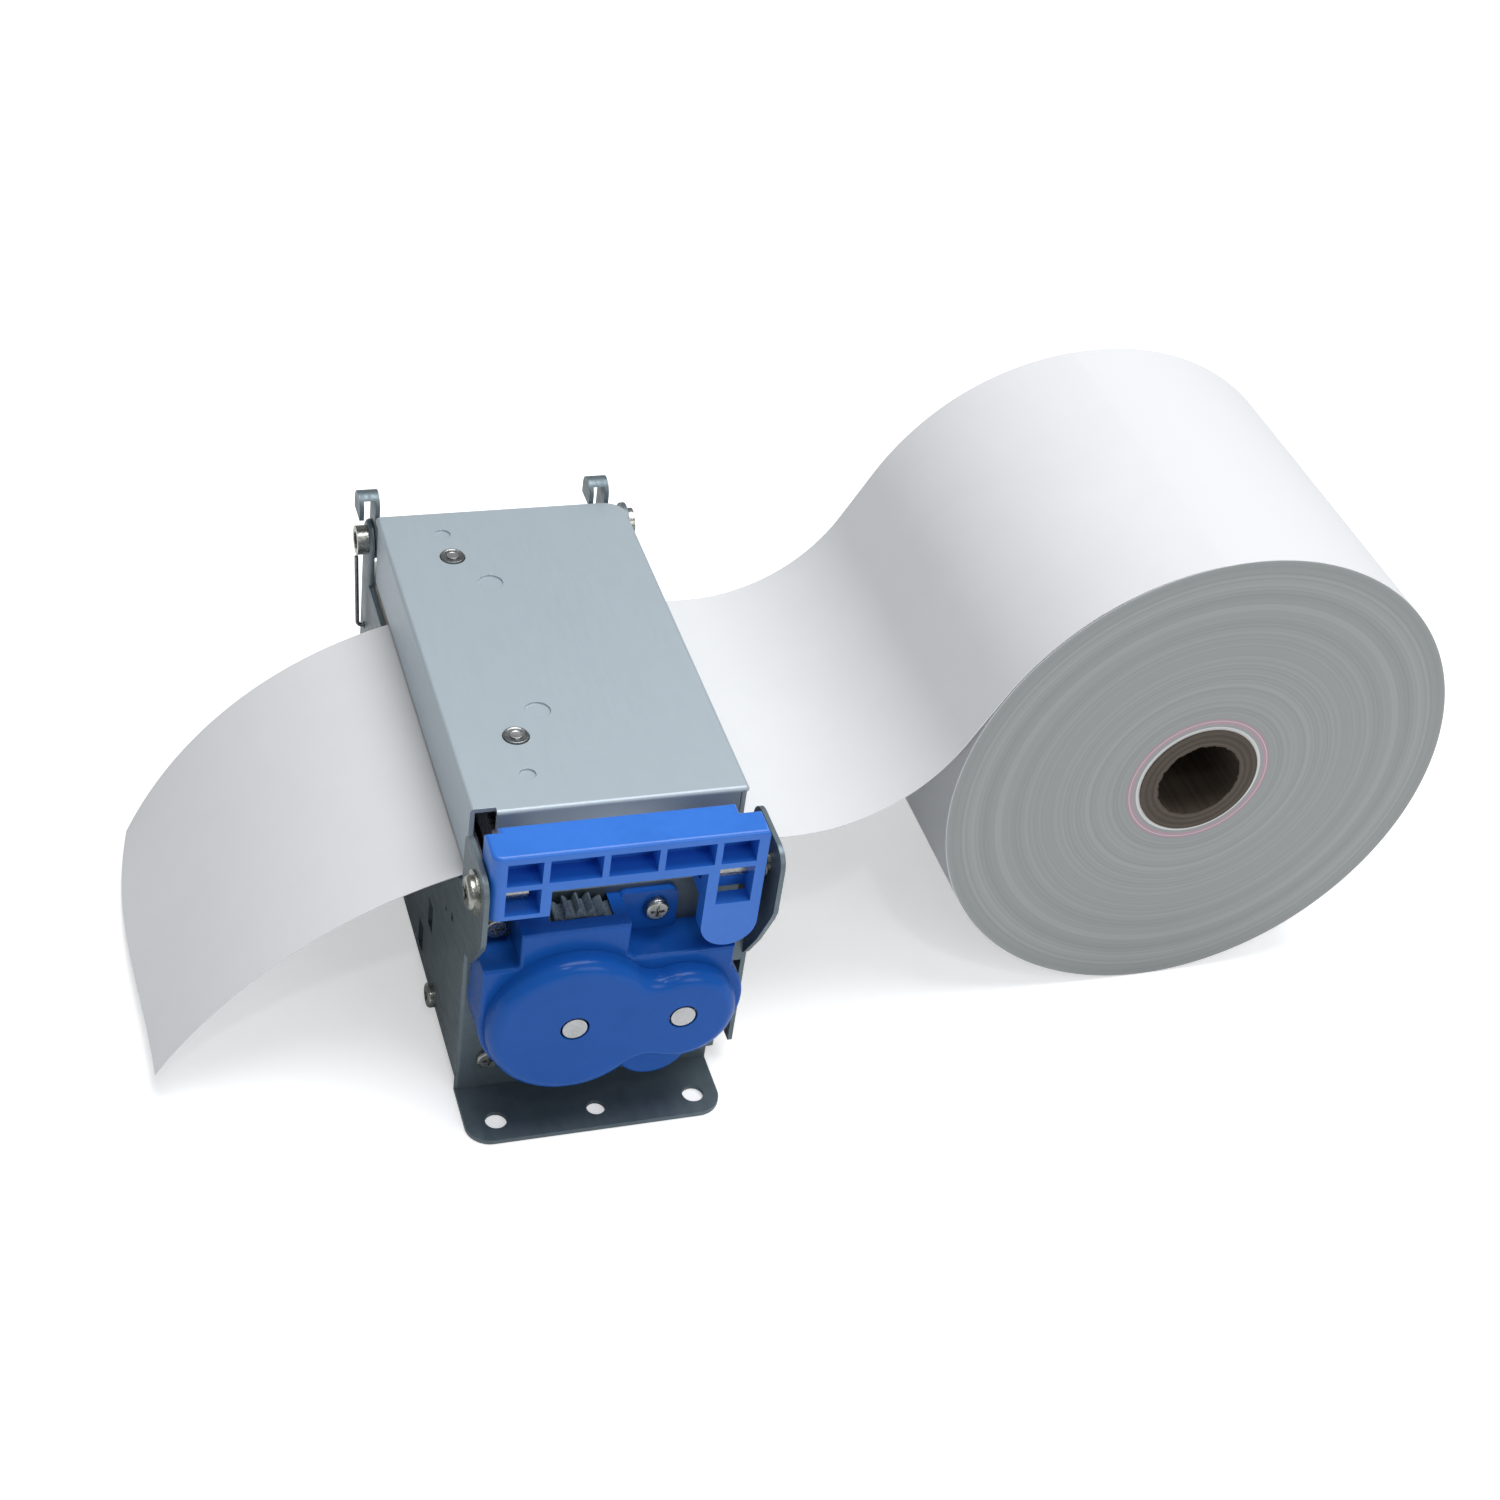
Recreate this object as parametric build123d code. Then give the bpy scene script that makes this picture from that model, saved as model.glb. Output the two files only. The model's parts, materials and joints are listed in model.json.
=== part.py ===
from build123d import *
import os
from math import acos, atan2, cos, degrees, hypot, pi, radians, sin, sqrt, tan

# Receipt printer mechanism of a pay station, with its paper roll, web and printed slip.
# Working frame in millimetres: X towards the roll, Y along the platen away from the gears, Z up.
# x = 0 is the outer face of the cover's left flange, y = 0 the outer face of the gear-side end
# plate and z = 0 the surface that the frame and the roll stand on. save() moves the part's origin
# to the centre of the four base holes.

# ---- driving dimensions --------------------------------------------------------------------
GAUGE = 1.0                 # steel sheet of the frame and the cover
PAPER_WIDTH = 79.5
PAPER_THICK = 0.2
PAPER_NEAR = 8.3            # near edge of the paper
FAR_MARGIN = 24.2           # from the paper's far edge to the frame's far face
LEFT_WALL = -1.2            # outer face of the left wall
FRAME_WIDTH = 56.5          # from x = 0 to the outer face of the right plate
ROLL_RADIUS = 55.6
ROLL_X = 154.2
CORE_RADIUS = 13.1
CORE_BORE = 9.2
PLATEN_RADIUS = 8.05
PLATEN_X = 19.4
COVER_HEIGHT = 15.6         # top of the cover above the paper

RUN = 0.05                  # radial running clearance
GAP = 0.3                   # between bodies that pass each other
PAPER_GAP = 0.15            # between the paper and what guides it

# ---- derived levels and lengths ------------------------------------------------------------
PAPER_FAR = PAPER_NEAR + PAPER_WIDTH
FRAME_LENGTH = PAPER_FAR + FAR_MARGIN
RIGHT_PLATE = FRAME_WIDTH - GAUGE      # inner face of the right plate
WALL_X = (LEFT_WALL, LEFT_WALL + GAUGE)
INNER_LEFT = WALL_X[1] + 0.2           # where the pieces inside the frame start

# ---- feed gears ----------------------------------------------------------------------------
FEED_MODULE = 0.75
PRESSURE_ANGLE = radians(25)
BACKLASH = 0.12
PLATEN_TEETH = 21
SMALL_TEETH = 19
LARGE_TEETH = 38
IDLER_TEETH = 20
MOTOR_TEETH = 12
REDUCTION_AT = (17.9, 28.8)            # x, z of the reduction gear's axle
IDLER_AT = (39.6, 28.4)
PINION_DROP = radians(-108.4)          # direction from the idler to the motor pinion

GEAR_TIP_GAP = 0.25


def pitch_radius(teeth, module):
    return teeth * module / 2


def centre_distance(teeth_a, teeth_b, module):
    return pitch_radius(teeth_a, module) + pitch_radius(teeth_b, module)


PLATEN_REACH = centre_distance(SMALL_TEETH, PLATEN_TEETH, FEED_MODULE)
PLATEN_Z = REDUCTION_AT[1] + sqrt(PLATEN_REACH ** 2 - (PLATEN_X - REDUCTION_AT[0]) ** 2)
PLATEN_AT = (PLATEN_X, PLATEN_Z)
PINION_REACH = centre_distance(IDLER_TEETH, MOTOR_TEETH, FEED_MODULE)
MOTOR_AT = (IDLER_AT[0] + PINION_REACH * cos(PINION_DROP), IDLER_AT[1] + PINION_REACH * sin(PINION_DROP))

PAPER_Z = PLATEN_Z + PLATEN_RADIUS + 1.5 * PAPER_GAP    # underside of the flat paper
PAPER_TOP = PAPER_Z + PAPER_THICK
COVER_TOP = PAPER_Z + COVER_HEIGHT
COVER_UNDER = COVER_TOP - GAUGE

# gear layers along Y, front to back
COVER_FACE = -14.0
BULGE_BACK = -9.5
COVER_WALL = 1.2
LARGE_LAYER = (-12.3, -9.3)
SMALL_LAYER = (-9.3, -1.0)
IDLER_LAYER = (-12.3, -4.5)
MOTOR_LAYER = (-8.3, -4.5)
PLATEN_LAYER = (-5.5, -1.0)
AXLE_RADIUS = 2.5

# ---- frame ---------------------------------------------------------------------------------
WALL_FOOT = 3.6
WALL_TOP = PAPER_Z - 1.5
PLATE_RIGHT = 52.5
FOOT_RIGHT = 51.0
FOOT_LENGTH = 14.8
FOOT_CORNER = 5.0
HOLE_X = (5.15, 45.85)
HOLE_Y = -9.5
HOLE_RADIUS = 2.2
MIDDLE_HOLE = (25.5, -9.7)
MIDDLE_RADIUS = 1.9
EAR_FRONT = -11.5
EAR_BACK = 5.6
EAR_TOP = PAPER_Z + 13.8
LEFT_EAR_FOOT = ((0, 38.7), (-3.8, 39.7), (-7.1, 44.2), (-10.9, 49.6))
RIGHT_EAR_FOOT = ((0, 30.0), (-1.0, 31.0), (-6.0, 39.0), (-11.0, 49.0))
WALL_WINDOWS = ((29.1, 21.7), (36.4, 9.5))
WALL_WINDOW = (4.0, 6.8)
WALL_SLOT = ((10.8, 12.2), (36.6, 38.4))
WALL_DIMPLE = (16.7, 35.3)
WALL_SCREW = (22.7, 5.3)
TAB_Z = (28.0, 40.0)
TAB_DEPTH = 10.0
SIDE_SCREW_Z = (TAB_Z[0] + TAB_Z[1]) / 2
SIDE_SCREW_INSET = 5.5
TIE_AT = (5.1, 9.2)                    # x, z, as are the other places on the end plates
TIE_RADIUS = 3.0
BAR_SCREW_AT = (4.4, 45.0)
SCREW_HOLE = 1.3
PLATEN_BUSH = 4.4
PLATEN_SHAFT = 2.5
MOTOR_BOSS = 3.0
AXLE_SEAT = 1.8
COVER_SCREW_AT = (35.4, 46.9)
BAR_BOTTOM = 40.0
WIRE_AT = (FRAME_LENGTH - 5.0, BAR_BOTTOM - 2.5)
WIRE_RADIUS = 0.45
WIRE_HOLE = 0.9
WIRE_RISE = 17.5

# ---- cutter blade, wide enough for the paper -----------------------------------------------
BLADE_X = (4.6, 5.4)
SHEAR_GAP = 0.1

# ---- pieces inside the frame ---------------------------------------------------------------
BAR_X = (BLADE_X[1] + SHEAR_GAP + 0.1, PLATEN_X - PLATEN_RADIUS - 0.95)
BAR_Z = (BAR_BOTTOM, PAPER_Z - 1.15)
BAR_FOOT_TOP = 46.5
BED_X = (30.0, RIGHT_PLATE - GAUGE - 0.2)
BED_Z = (40.0, PAPER_Z - PAPER_GAP - 0.1)
BED_WALL = 1.6
SENSOR_X = (40.0, 46.0)
SENSOR_Y = (PAPER_NEAR + 36, PAPER_NEAR + 44)
FEED_MOTOR_RADIUS = 13.0
FEED_MOTOR_END = 46.0
FEED_SHAFT = 1.0
FEED_SHAFT_END = 14.0

# ---- gear cover ----------------------------------------------------------------------------
BIG_LOBE = 16.9
BIG_DROP = 0.5                         # from the reduction gear's axle down to the lobe's centre
SMALL_LOBE = 11.3
SMALL_DROP = 0.9
LOWER_LOBE = 7.6
WAIST = 5.5                            # radius of the hollow between the lobes
BASE_STEP = 1.0
FRONT_ROUND = 2.8
BASE_ROUND = 0.8
COVER_LEFT = 0.2
LEFT_SHELF_TOP = 42.2
SHELF_TOP = 50.4
SHELF_X = (7.2, 28.5)
RIGHT_SHELF_TOP = 41.5
RIGHT_SHELF_X = 50.0
AXLE_WINDOW = 2.9
COVER_TAB = 1.6
COVER_TAB_TOP = 51.0
TAB_RIGHT = 39.8

# ---- lever ---------------------------------------------------------------------------------
LEVER_PIVOT = (-5.0, 59.0)             # y, z
LEVER_PIN = 2.0
LEVER_X = (WALL_X[1] + GAP, 53.0)
LEVER_Y = (-10.5, -1.5)
LEVER_Z = (62.3, 71.5)
LEFT_LEG = (LEVER_X[0], 11.7)
LEFT_LEG_BOTTOM = 56.1
RIGHT_LEG = (41.8, LEVER_X[1])
RIGHT_LEG_BEND = 54.2
RIGHT_LEG_BACK = -7.0
LEG_END_RADIUS = (RIGHT_LEG[1] - RIGHT_LEG[0]) / 2
LEG_END = (RIGHT_LEG[0] + LEG_END_RADIUS, 48.9)
POCKET_BACK = -5.6
POCKET_Z = (64.4, 69.7)
POCKET_RIB = 1.3
LEVER_CORNER = 2.0
LEVER_EDGE = 0.8
POCKET_EDGES = (3.0, 9.7, 11.0, 21.0, 22.3, 31.7, 33.0, 42.7, 44.0, 50.9)
SPRING_COIL_X = (LEVER_X[1] + GAP, RIGHT_PLATE - 0.1)

# ---- head unit -----------------------------------------------------------------------------
HINGE_Y = FRAME_LENGTH - 4.5
HINGE_Z = PAPER_Z + 8.0
HINGE_PIN = 2.0
EAR_RADIUS = 4.5
COVER_X = (0.0, 54.6)
COVER_Y = (6.6, FRAME_LENGTH - 7.3)
COVER_FLANGE_END = FRAME_LENGTH - 10.0
LEFT_FLANGE_BOTTOM = PAPER_TOP + 0.5
RIGHT_FLANGE_BOTTOM = PAPER_TOP + 5.0
NEAR_LIP_X = (4.9, 52.8)
NEAR_LIP_BOTTOM = COVER_TOP - 6.5
POST_X = 13.3
POST_Y = (PAPER_NEAR + 20.0, PAPER_FAR + 0.7)
SPRING_X = 19.3
SPRING_Y = (PAPER_NEAR + 27.3, PAPER_FAR - 9.2)
PIN_X = 25.5
PIN_Y = (PAPER_NEAR + 17.0, PAPER_FAR - 17.0)
STUD = 2.5
STUD_HOLE = 2.7
DIMPLE_SMALL = 1.65
DIMPLE_LARGE = 2.6
DIMPLE_DEPTH = 0.45
ARM_X = ((0.0, 1.0), (50.4, 51.4))
ARM_ROOT = COVER_FLANGE_END + 0.2
HOOK_HALF = 3.0
HOOK_SHIFT = 0.5                       # from the hinge pin to the middle of the hooks
HOOK_TOP = HINGE_Z + 12.0
HOOK_BOTTOM = HINGE_Z + 6.7
HOOK_REACH = 3.4
HEAD_X = (16.9, 30.0)
HEAD_Y = (PAPER_NEAR + 0.5, PAPER_FAR - 0.2)
SUBSTRATE_Z = (PAPER_TOP + PAPER_GAP, PAPER_TOP + 0.85)
HEAD_Z = (SUBSTRATE_Z[1], PAPER_Z + 6.0)
HEAD_PIN = 1.5

# ---- cutter drive --------------------------------------------------------------------------

CARRIAGE_X = 16.5
CARRIAGE_Z = PAPER_Z + 9.2

CUT_MODULE = 0.5
RACK_TEETH = 16
CUT_IDLER_TEETH = 20
CUT_MOTOR_TEETH = 12
CUT_Z = PAPER_Z + 8.5
RACK_LINE = 15.5
RACK_PINION_X = RACK_LINE + pitch_radius(RACK_TEETH, CUT_MODULE)
CUT_IDLER_X = RACK_PINION_X + centre_distance(RACK_TEETH, CUT_IDLER_TEETH, CUT_MODULE)
CUT_MOTOR_X = CUT_IDLER_X + centre_distance(CUT_IDLER_TEETH, CUT_MOTOR_TEETH, CUT_MODULE)
CUT_LAYER = (PAPER_FAR + 6.2, PAPER_FAR + 11.2)
CUT_BRACKET = (PAPER_FAR + 4.6, PAPER_FAR + 5.6)
CUT_MOTOR_RADIUS = 6.0
CUT_MOTOR_LENGTH = 30.0
CUT_AXLE = 1.0
CUT_SHAFT = 0.75
BUSH_RADIUS = 2.7
RACK_BACK = 11.9
RACK_Z = (CUT_Z - 3.5, COVER_UNDER - DIMPLE_DEPTH - GAP)
BRACKET_Y = (CUT_LAYER[1] + 0.6, COVER_Y[1] - 0.9)

# ---- paper path ----------------------------------------------------------------------------
WEB_START = BLADE_X[1] + GAP
WEB_BEND_X = 66.0
WEB_BEND_RADIUS = 38.0
WEB_END = radians(98)                  # direction from the roll's centre to the web's end
ROLL_GAP = 0.25
SLIP_START = BLADE_X[0] - 0.35
SLIP_LEAD_RADIUS = 15.0
SLIP_LEAD_TURN = radians(15.4)
SLIP_RADIUS = 91.6
SLIP_TURN = radians(47)

ORIGIN = ((HOLE_X[0] + HOLE_X[1]) / 2, (HOLE_Y + FRAME_LENGTH + HOLE_Y) / 2, 0)

os.makedirs("parts", exist_ok=True)


# ---- helpers -------------------------------------------------------------------------------
def save(shape, name):
    export_step(Pos(-ORIGIN[0], -ORIGIN[1], -ORIGIN[2]) * shape, f"parts/{name}.step")


def mid(span):
    return (span[0] + span[1]) / 2


def size(span):
    return span[1] - span[0]


def block(x, y, z):
    return Pos(mid(x), mid(y), mid(z)) * Box(size(x), size(y), size(z))


def rod_x(radius, x, y, z):
    return Pos(mid(x), y, z) * Rot(0, 90, 0) * Cylinder(radius, size(x))


def rod_y(radius, at, y):
    return Pos(at[0], mid(y), at[1]) * Rot(90, 0, 0) * Cylinder(radius, size(y))


def rod_z(radius, at, z):
    return Pos(at[0], at[1], mid(z)) * Cylinder(radius, size(z))


def slab_x(face, x):
    return extrude(Plane.YZ.offset(x[0]) * face, amount=size(x))


def slab_y(face, y):
    return extrude(Plane.XZ.offset(-y[1]) * face, amount=size(y))


def outline(*points):
    return make_face(Polyline(*points, close=True))


def area(u, v):
    return Pos(mid(u), mid(v)) * Rectangle(size(u), size(v))


def disc(radius, at):
    return Pos(at[0], at[1]) * Circle(radius)


def pan_screw(head_radius, head_height, shaft_radius, length):
    """A cross-recessed pan head screw along +Z, its head on z = 0 and its shaft below."""
    head = Pos(0, 0, head_height / 2) * Cylinder(head_radius, head_height)
    head = fillet(head.edges().group_by(Axis.Z)[-1], head_height * 0.45)
    slot = Pos(0, 0, head_height) * Box(head_radius * 1.1, head_radius * 0.24, head_height)
    shaft = Pos(0, 0, -length / 2) * Cylinder(shaft_radius, length)
    return head + shaft - slot - Rot(0, 0, 90) * slot


def point_along(direction, at, part):
    """Stands a +Z part at a place, with its +Z along the direction."""
    return Plane(origin=at, z_dir=direction) * part


def involute(angle):
    return tan(angle) - angle


def gear_face(teeth, module, at, phase):
    """A spur gear's outline; phase is the direction of one tooth's centre line."""
    pitch = pitch_radius(teeth, module)
    base = pitch * cos(PRESSURE_ANGLE)
    root = pitch - 1.25 * module
    tip = pitch + module
    half = pi / (2 * teeth) - BACKLASH / (4 * pitch)
    steps = 4
    start = max(base, root)
    flank = []
    if root < base:
        flank.append((root, half + involute(PRESSURE_ANGLE)))
    for step in range(steps + 1):
        radius = start + (tip - start) * step / steps
        turn = half + involute(PRESSURE_ANGLE) - involute(acos(min(1.0, base / radius)))
        flank.append((radius, turn))
    points = []
    for tooth in range(teeth):
        centre = phase + 2 * pi * tooth / teeth
        for radius, turn in flank:
            points.append((at[0] + radius * cos(centre - turn), at[1] + radius * sin(centre - turn)))
        for radius, turn in reversed(flank):
            points.append((at[0] + radius * cos(centre + turn), at[1] + radius * sin(centre + turn)))
    return outline(*points)


def meshed_phase(at_a, phase_a, teeth_a, at_b, teeth_b):
    """The phase that puts gear b's gap on gear a's tooth along their line of centres."""
    line = atan2(at_b[1] - at_a[1], at_b[0] - at_a[0])
    return line + pi + (line - phase_a) * teeth_a / teeth_b + pi / teeth_b


def coil(radius, wire, pitch, turns, at, direction):
    path = Helix(pitch=pitch, height=pitch * turns, radius=radius)
    start = Plane(origin=path @ 0, z_dir=path % 0)
    return Plane(origin=at, z_dir=direction) * sweep(start * Circle(wire), path=path)


# ---- frame pieces --------------------------------------------------------------------------
def near_ear(front, foot):
    """Outline in (y, z) of the ear that carries the lever; foot is its lower slanted edge."""
    corner = 4.0
    ear = outline(*foot, (front, EAR_TOP - 14.2), (front, EAR_TOP), (EAR_BACK, EAR_TOP),
                  (EAR_BACK, WALL_TOP), (EAR_BACK, foot[0][1]))
    top = ear.vertices().group_by(Axis.Y)[-1]
    return fillet(top, corner)


def far_ear():
    """Outline in (y, z) of the ear round the head unit's hinge pin."""
    neck = area((HINGE_Y - EAR_RADIUS, HINGE_Y + EAR_RADIUS), (WALL_TOP - 1, HINGE_Z))
    return neck + disc(EAR_RADIUS, (HINGE_Y, HINGE_Z))


def foot_plate(y, rounded):
    foot = area((LEFT_WALL, FOOT_RIGHT), y)
    ends = foot.vertices().group_by(Axis.Y)[rounded]
    foot = fillet(ends, FOOT_CORNER)
    return extrude(foot, amount=GAUGE)


def end_plate_face(top):
    plate = area((LEFT_WALL, PLATE_RIGHT), (0, top))
    step = area((FOOT_RIGHT, PLATE_RIGHT), (0, 4.0))
    shoulder = outline((LEFT_WALL, 46.5), (LEFT_WALL, top), (13.0, top), (8.5, 47.5))
    return plate - step - shoulder + area((LEFT_WALL, RIGHT_PLATE - GAUGE), TAB_Z)


def end_plate_holes(y):
    holes = rod_y(PLATEN_BUSH, PLATEN_AT, y)
    for at in (TIE_AT, BAR_SCREW_AT):
        holes += rod_y(SCREW_HOLE, at, y)
    return holes


def main_frame():
    near = (0, GAUGE)
    far = (FRAME_LENGTH - GAUGE, FRAME_LENGTH)
    wall = area((0, FRAME_LENGTH), (WALL_FOOT, WALL_TOP))
    wall += near_ear(EAR_FRONT, LEFT_EAR_FOOT) + far_ear()
    for at in WALL_WINDOWS:
        wall -= Pos(*at) * Rectangle(*WALL_WINDOW)
    wall -= area(*WALL_SLOT)
    wall -= disc(LEVER_PIN + RUN, LEVER_PIVOT) + disc(HINGE_PIN + RUN, (HINGE_Y, HINGE_Z))
    wall -= disc(SCREW_HOLE, WALL_SCREW) + disc(WIRE_HOLE, WIRE_AT)
    frame = slab_x(wall, WALL_X)
    frame += slab_y(end_plate_face(PAPER_Z), near) + slab_y(end_plate_face(WALL_TOP), far)
    frame += foot_plate((-FOOT_LENGTH, GAUGE), 0)
    frame += foot_plate((FRAME_LENGTH - FOOT_LENGTH, FRAME_LENGTH), 0)
    for y in ((0, TAB_DEPTH), (FRAME_LENGTH - TAB_DEPTH, FRAME_LENGTH)):
        frame += block((RIGHT_PLATE - GAUGE, RIGHT_PLATE), y, TAB_Z)
    frame -= end_plate_holes((-1, GAUGE + 1)) + end_plate_holes((far[0] - 1, far[1] + 1))
    frame -= rod_y(MOTOR_BOSS + RUN, MOTOR_AT, (-1, GAUGE + 1))
    for at in (REDUCTION_AT, IDLER_AT):
        frame -= rod_y(AXLE_SEAT, at, (-1, GAUGE + 1))
    frame -= rod_y(SCREW_HOLE, COVER_SCREW_AT, (-1, GAUGE + 1))
    for y in (SIDE_SCREW_INSET, FRAME_LENGTH - SIDE_SCREW_INSET):
        frame -= rod_x(SCREW_HOLE, (RIGHT_PLATE - 2, FRAME_WIDTH), y, SIDE_SCREW_Z)
    for x in HOLE_X:
        for y in (HOLE_Y, FRAME_LENGTH + HOLE_Y):
            frame -= rod_z(HOLE_RADIUS, (x, y), (-1, GAUGE + 1))
    frame -= rod_z(MIDDLE_RADIUS, MIDDLE_HOLE, (-1, GAUGE + 1))
    dimple = Pos(LEFT_WALL, *WALL_DIMPLE) * Sphere(0.9)
    bends = frame.edges().filter_by(Axis.Z).filter_by(
        lambda edge: abs(edge.center().X - LEFT_WALL) < 0.01 and edge.length > 20
        and (abs(edge.center().Y) < 0.01 or abs(edge.center().Y - FRAME_LENGTH) < 0.01))
    return fillet(bends, GAUGE * 0.9) - dimple


def right_side_plate():
    face = area((0, FRAME_LENGTH), (WALL_FOOT + 1.4, WALL_TOP))
    face += near_ear(EAR_FRONT - 0.5, RIGHT_EAR_FOOT) + far_ear()
    face -= disc(LEVER_PIN + RUN, LEVER_PIVOT) + disc(HINGE_PIN + RUN, (HINGE_Y, HINGE_Z))
    for y in (SIDE_SCREW_INSET, FRAME_LENGTH - SIDE_SCREW_INSET):
        face -= disc(SCREW_HOLE, (y, SIDE_SCREW_Z))
    return slab_x(face, (RIGHT_PLATE, FRAME_WIDTH))


def inside():
    return (GAUGE, FRAME_LENGTH - GAUGE)


def blade_bar():
    bar = block(BAR_X, inside(), BAR_Z) + block((INNER_LEFT, BAR_X[0]), inside(), (BAR_Z[0], BAR_FOOT_TOP))
    for y in ((GAUGE, 9.0), (FRAME_LENGTH - 9.0, FRAME_LENGTH - GAUGE)):
        bar -= rod_y(SCREW_HOLE, BAR_SCREW_AT, y)
    return bar


def fixed_blade():
    across = (BLADE_X[1] + SHEAR_GAP, BAR_X[1])
    blade = block(across, (PAPER_NEAR - 2, PAPER_FAR + 4), (BAR_Z[1], PAPER_Z - PAPER_GAP))
    edge = blade.edges().filter_by(Axis.Y).sort_by(Axis.X).group_by(Axis.X)[-1].sort_by(Axis.Z)[-1]
    return chamfer(edge, 0.5)


def exit_guide():
    guide = block((INNER_LEFT, BLADE_X[0] - GAP), inside(), (BAR_FOOT_TOP, PAPER_Z - PAPER_GAP - 0.1))
    lip = guide.edges().filter_by(Axis.Y).group_by(Axis.X)[0].sort_by(Axis.Z)[-1]
    return fillet(lip, 2.4)


def paper_bed():
    bed = block(BED_X, inside(), BED_Z)
    inlet = bed.edges().filter_by(Axis.Y).group_by(Axis.X)[-1].sort_by(Axis.Z)[-1]
    bed = fillet(inlet, 5.0)
    y = inside()
    inner_x = (BED_X[0] + BED_WALL, BED_X[1] - BED_WALL)
    bed -= block(inner_x, (y[0] + BED_WALL, y[1] - BED_WALL), (BED_Z[0] - 1, BED_Z[1] - 5.2))
    bed -= block(grown(SENSOR_X, 0.2), grown(SENSOR_Y, 0.2), (BED_Z[0], BED_Z[1] + 1))
    bed -= rod_y(SCREW_HOLE, COVER_SCREW_AT, (0, y[0] + BED_WALL + 1))
    for fence in ((PAPER_NEAR - 1.4, PAPER_NEAR - 0.2), (PAPER_FAR + 0.2, PAPER_FAR + 1.4)):
        bed += block((36.0, BED_X[1] - 5), fence, (BED_Z[1] - 1, PAPER_TOP + 1.4))
    return bed


def grown(span, by):
    return (span[0] - by, span[1] + by)


def paper_sensor():
    body = block(SENSOR_X, SENSOR_Y, (BED_Z[1] - 6.0, BED_Z[1] - 0.1))
    for x in (SENSOR_X[0] + 1.7, SENSOR_X[1] - 1.7):
        body -= rod_z(0.9, (x, mid(SENSOR_Y)), (BED_Z[1] - 0.8, BED_Z[1]))
    return body + block(SENSOR_X, grown(SENSOR_Y, 2.0), (BED_Z[1] - 6.2, BED_Z[1] - 5.2))


def tie_rod():
    y = inside()
    rod = rod_y(TIE_RADIUS, TIE_AT, y)
    return rod - rod_y(SCREW_HOLE, TIE_AT, (y[0], 9.0)) - rod_y(SCREW_HOLE, TIE_AT, (y[1] - 8.0, y[1]))


def platen_bush(y, flange):
    bush = rod_y(PLATEN_BUSH, PLATEN_AT, y) + rod_y(PLATEN_BUSH + 1.4, PLATEN_AT, flange)
    return bush - rod_y(PLATEN_SHAFT + RUN, PLATEN_AT, grown(y, 1))


def feed_motor():
    can = rod_y(FEED_MOTOR_RADIUS, MOTOR_AT, (GAUGE, FEED_MOTOR_END))
    can = fillet(can.edges().filter_by(GeomType.CIRCLE), 1.2)
    can += rod_y(MOTOR_BOSS, MOTOR_AT, (-0.4, GAUGE + 1))
    can += rod_y(4.0, MOTOR_AT, (FEED_MOTOR_END - 0.5, FEED_MOTOR_END + 1.5))
    return can - rod_y(FEED_SHAFT + RUN, MOTOR_AT, (-1, FEED_SHAFT_END + 0.5))


def feed_axle(at):
    return rod_y(AXLE_RADIUS, at, (COVER_FACE, 0)) + rod_y(AXLE_SEAT, at, (0, GAUGE))


# ---- feed gears ----------------------------------------------------------------------------
REDUCTION_PHASE = 0.0
LARGE_PHASE = 0.0
PLATEN_PHASE = meshed_phase(REDUCTION_AT, REDUCTION_PHASE, SMALL_TEETH, PLATEN_AT, PLATEN_TEETH)
IDLER_PHASE = meshed_phase(REDUCTION_AT, LARGE_PHASE, LARGE_TEETH, IDLER_AT, IDLER_TEETH)
MOTOR_PHASE = meshed_phase(IDLER_AT, IDLER_PHASE, IDLER_TEETH, MOTOR_AT, MOTOR_TEETH)


def platen_gear():
    gear = slab_y(gear_face(PLATEN_TEETH, FEED_MODULE, PLATEN_AT, PLATEN_PHASE), PLATEN_LAYER)
    gear -= slab_y(disc(6.2, PLATEN_AT) - disc(4.0, PLATEN_AT), (PLATEN_LAYER[0], PLATEN_LAYER[0] + 1.2))
    return gear - rod_y(PLATEN_SHAFT, PLATEN_AT, grown(PLATEN_LAYER, 1))


def reduction_gear():
    gear = slab_y(gear_face(LARGE_TEETH, FEED_MODULE, REDUCTION_AT, LARGE_PHASE), LARGE_LAYER)
    gear += slab_y(gear_face(SMALL_TEETH, FEED_MODULE, REDUCTION_AT, REDUCTION_PHASE), SMALL_LAYER)
    return gear - rod_y(AXLE_RADIUS + RUN, REDUCTION_AT, (LARGE_LAYER[0] - 1, SMALL_LAYER[1] + 1))


def idler_gear():
    gear = slab_y(gear_face(IDLER_TEETH, FEED_MODULE, IDLER_AT, IDLER_PHASE), IDLER_LAYER)
    return gear - rod_y(AXLE_RADIUS + RUN, IDLER_AT, grown(IDLER_LAYER, 1))


def feed_motor_pinion():
    gear = slab_y(gear_face(MOTOR_TEETH, FEED_MODULE, MOTOR_AT, MOTOR_PHASE), MOTOR_LAYER)
    return gear + rod_y(FEED_SHAFT, MOTOR_AT, (MOTOR_LAYER[0], FEED_SHAFT_END))


# ---- gear cover ----------------------------------------------------------------------------
def on_circles(centre_a, radius_a, centre_b, radius_b, side):
    """The point at one radius from each of two centres, above their line or below it."""
    span = hypot(centre_b[0] - centre_a[0], centre_b[1] - centre_a[1])
    along = (radius_a ** 2 - radius_b ** 2 + span ** 2) / (2 * span)
    across = side * sqrt(radius_a ** 2 - along ** 2)
    line = ((centre_b[0] - centre_a[0]) / span, (centre_b[1] - centre_a[1]) / span)
    return (centre_a[0] + along * line[0] - across * line[1], centre_a[1] + along * line[1] + across * line[0])


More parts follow.
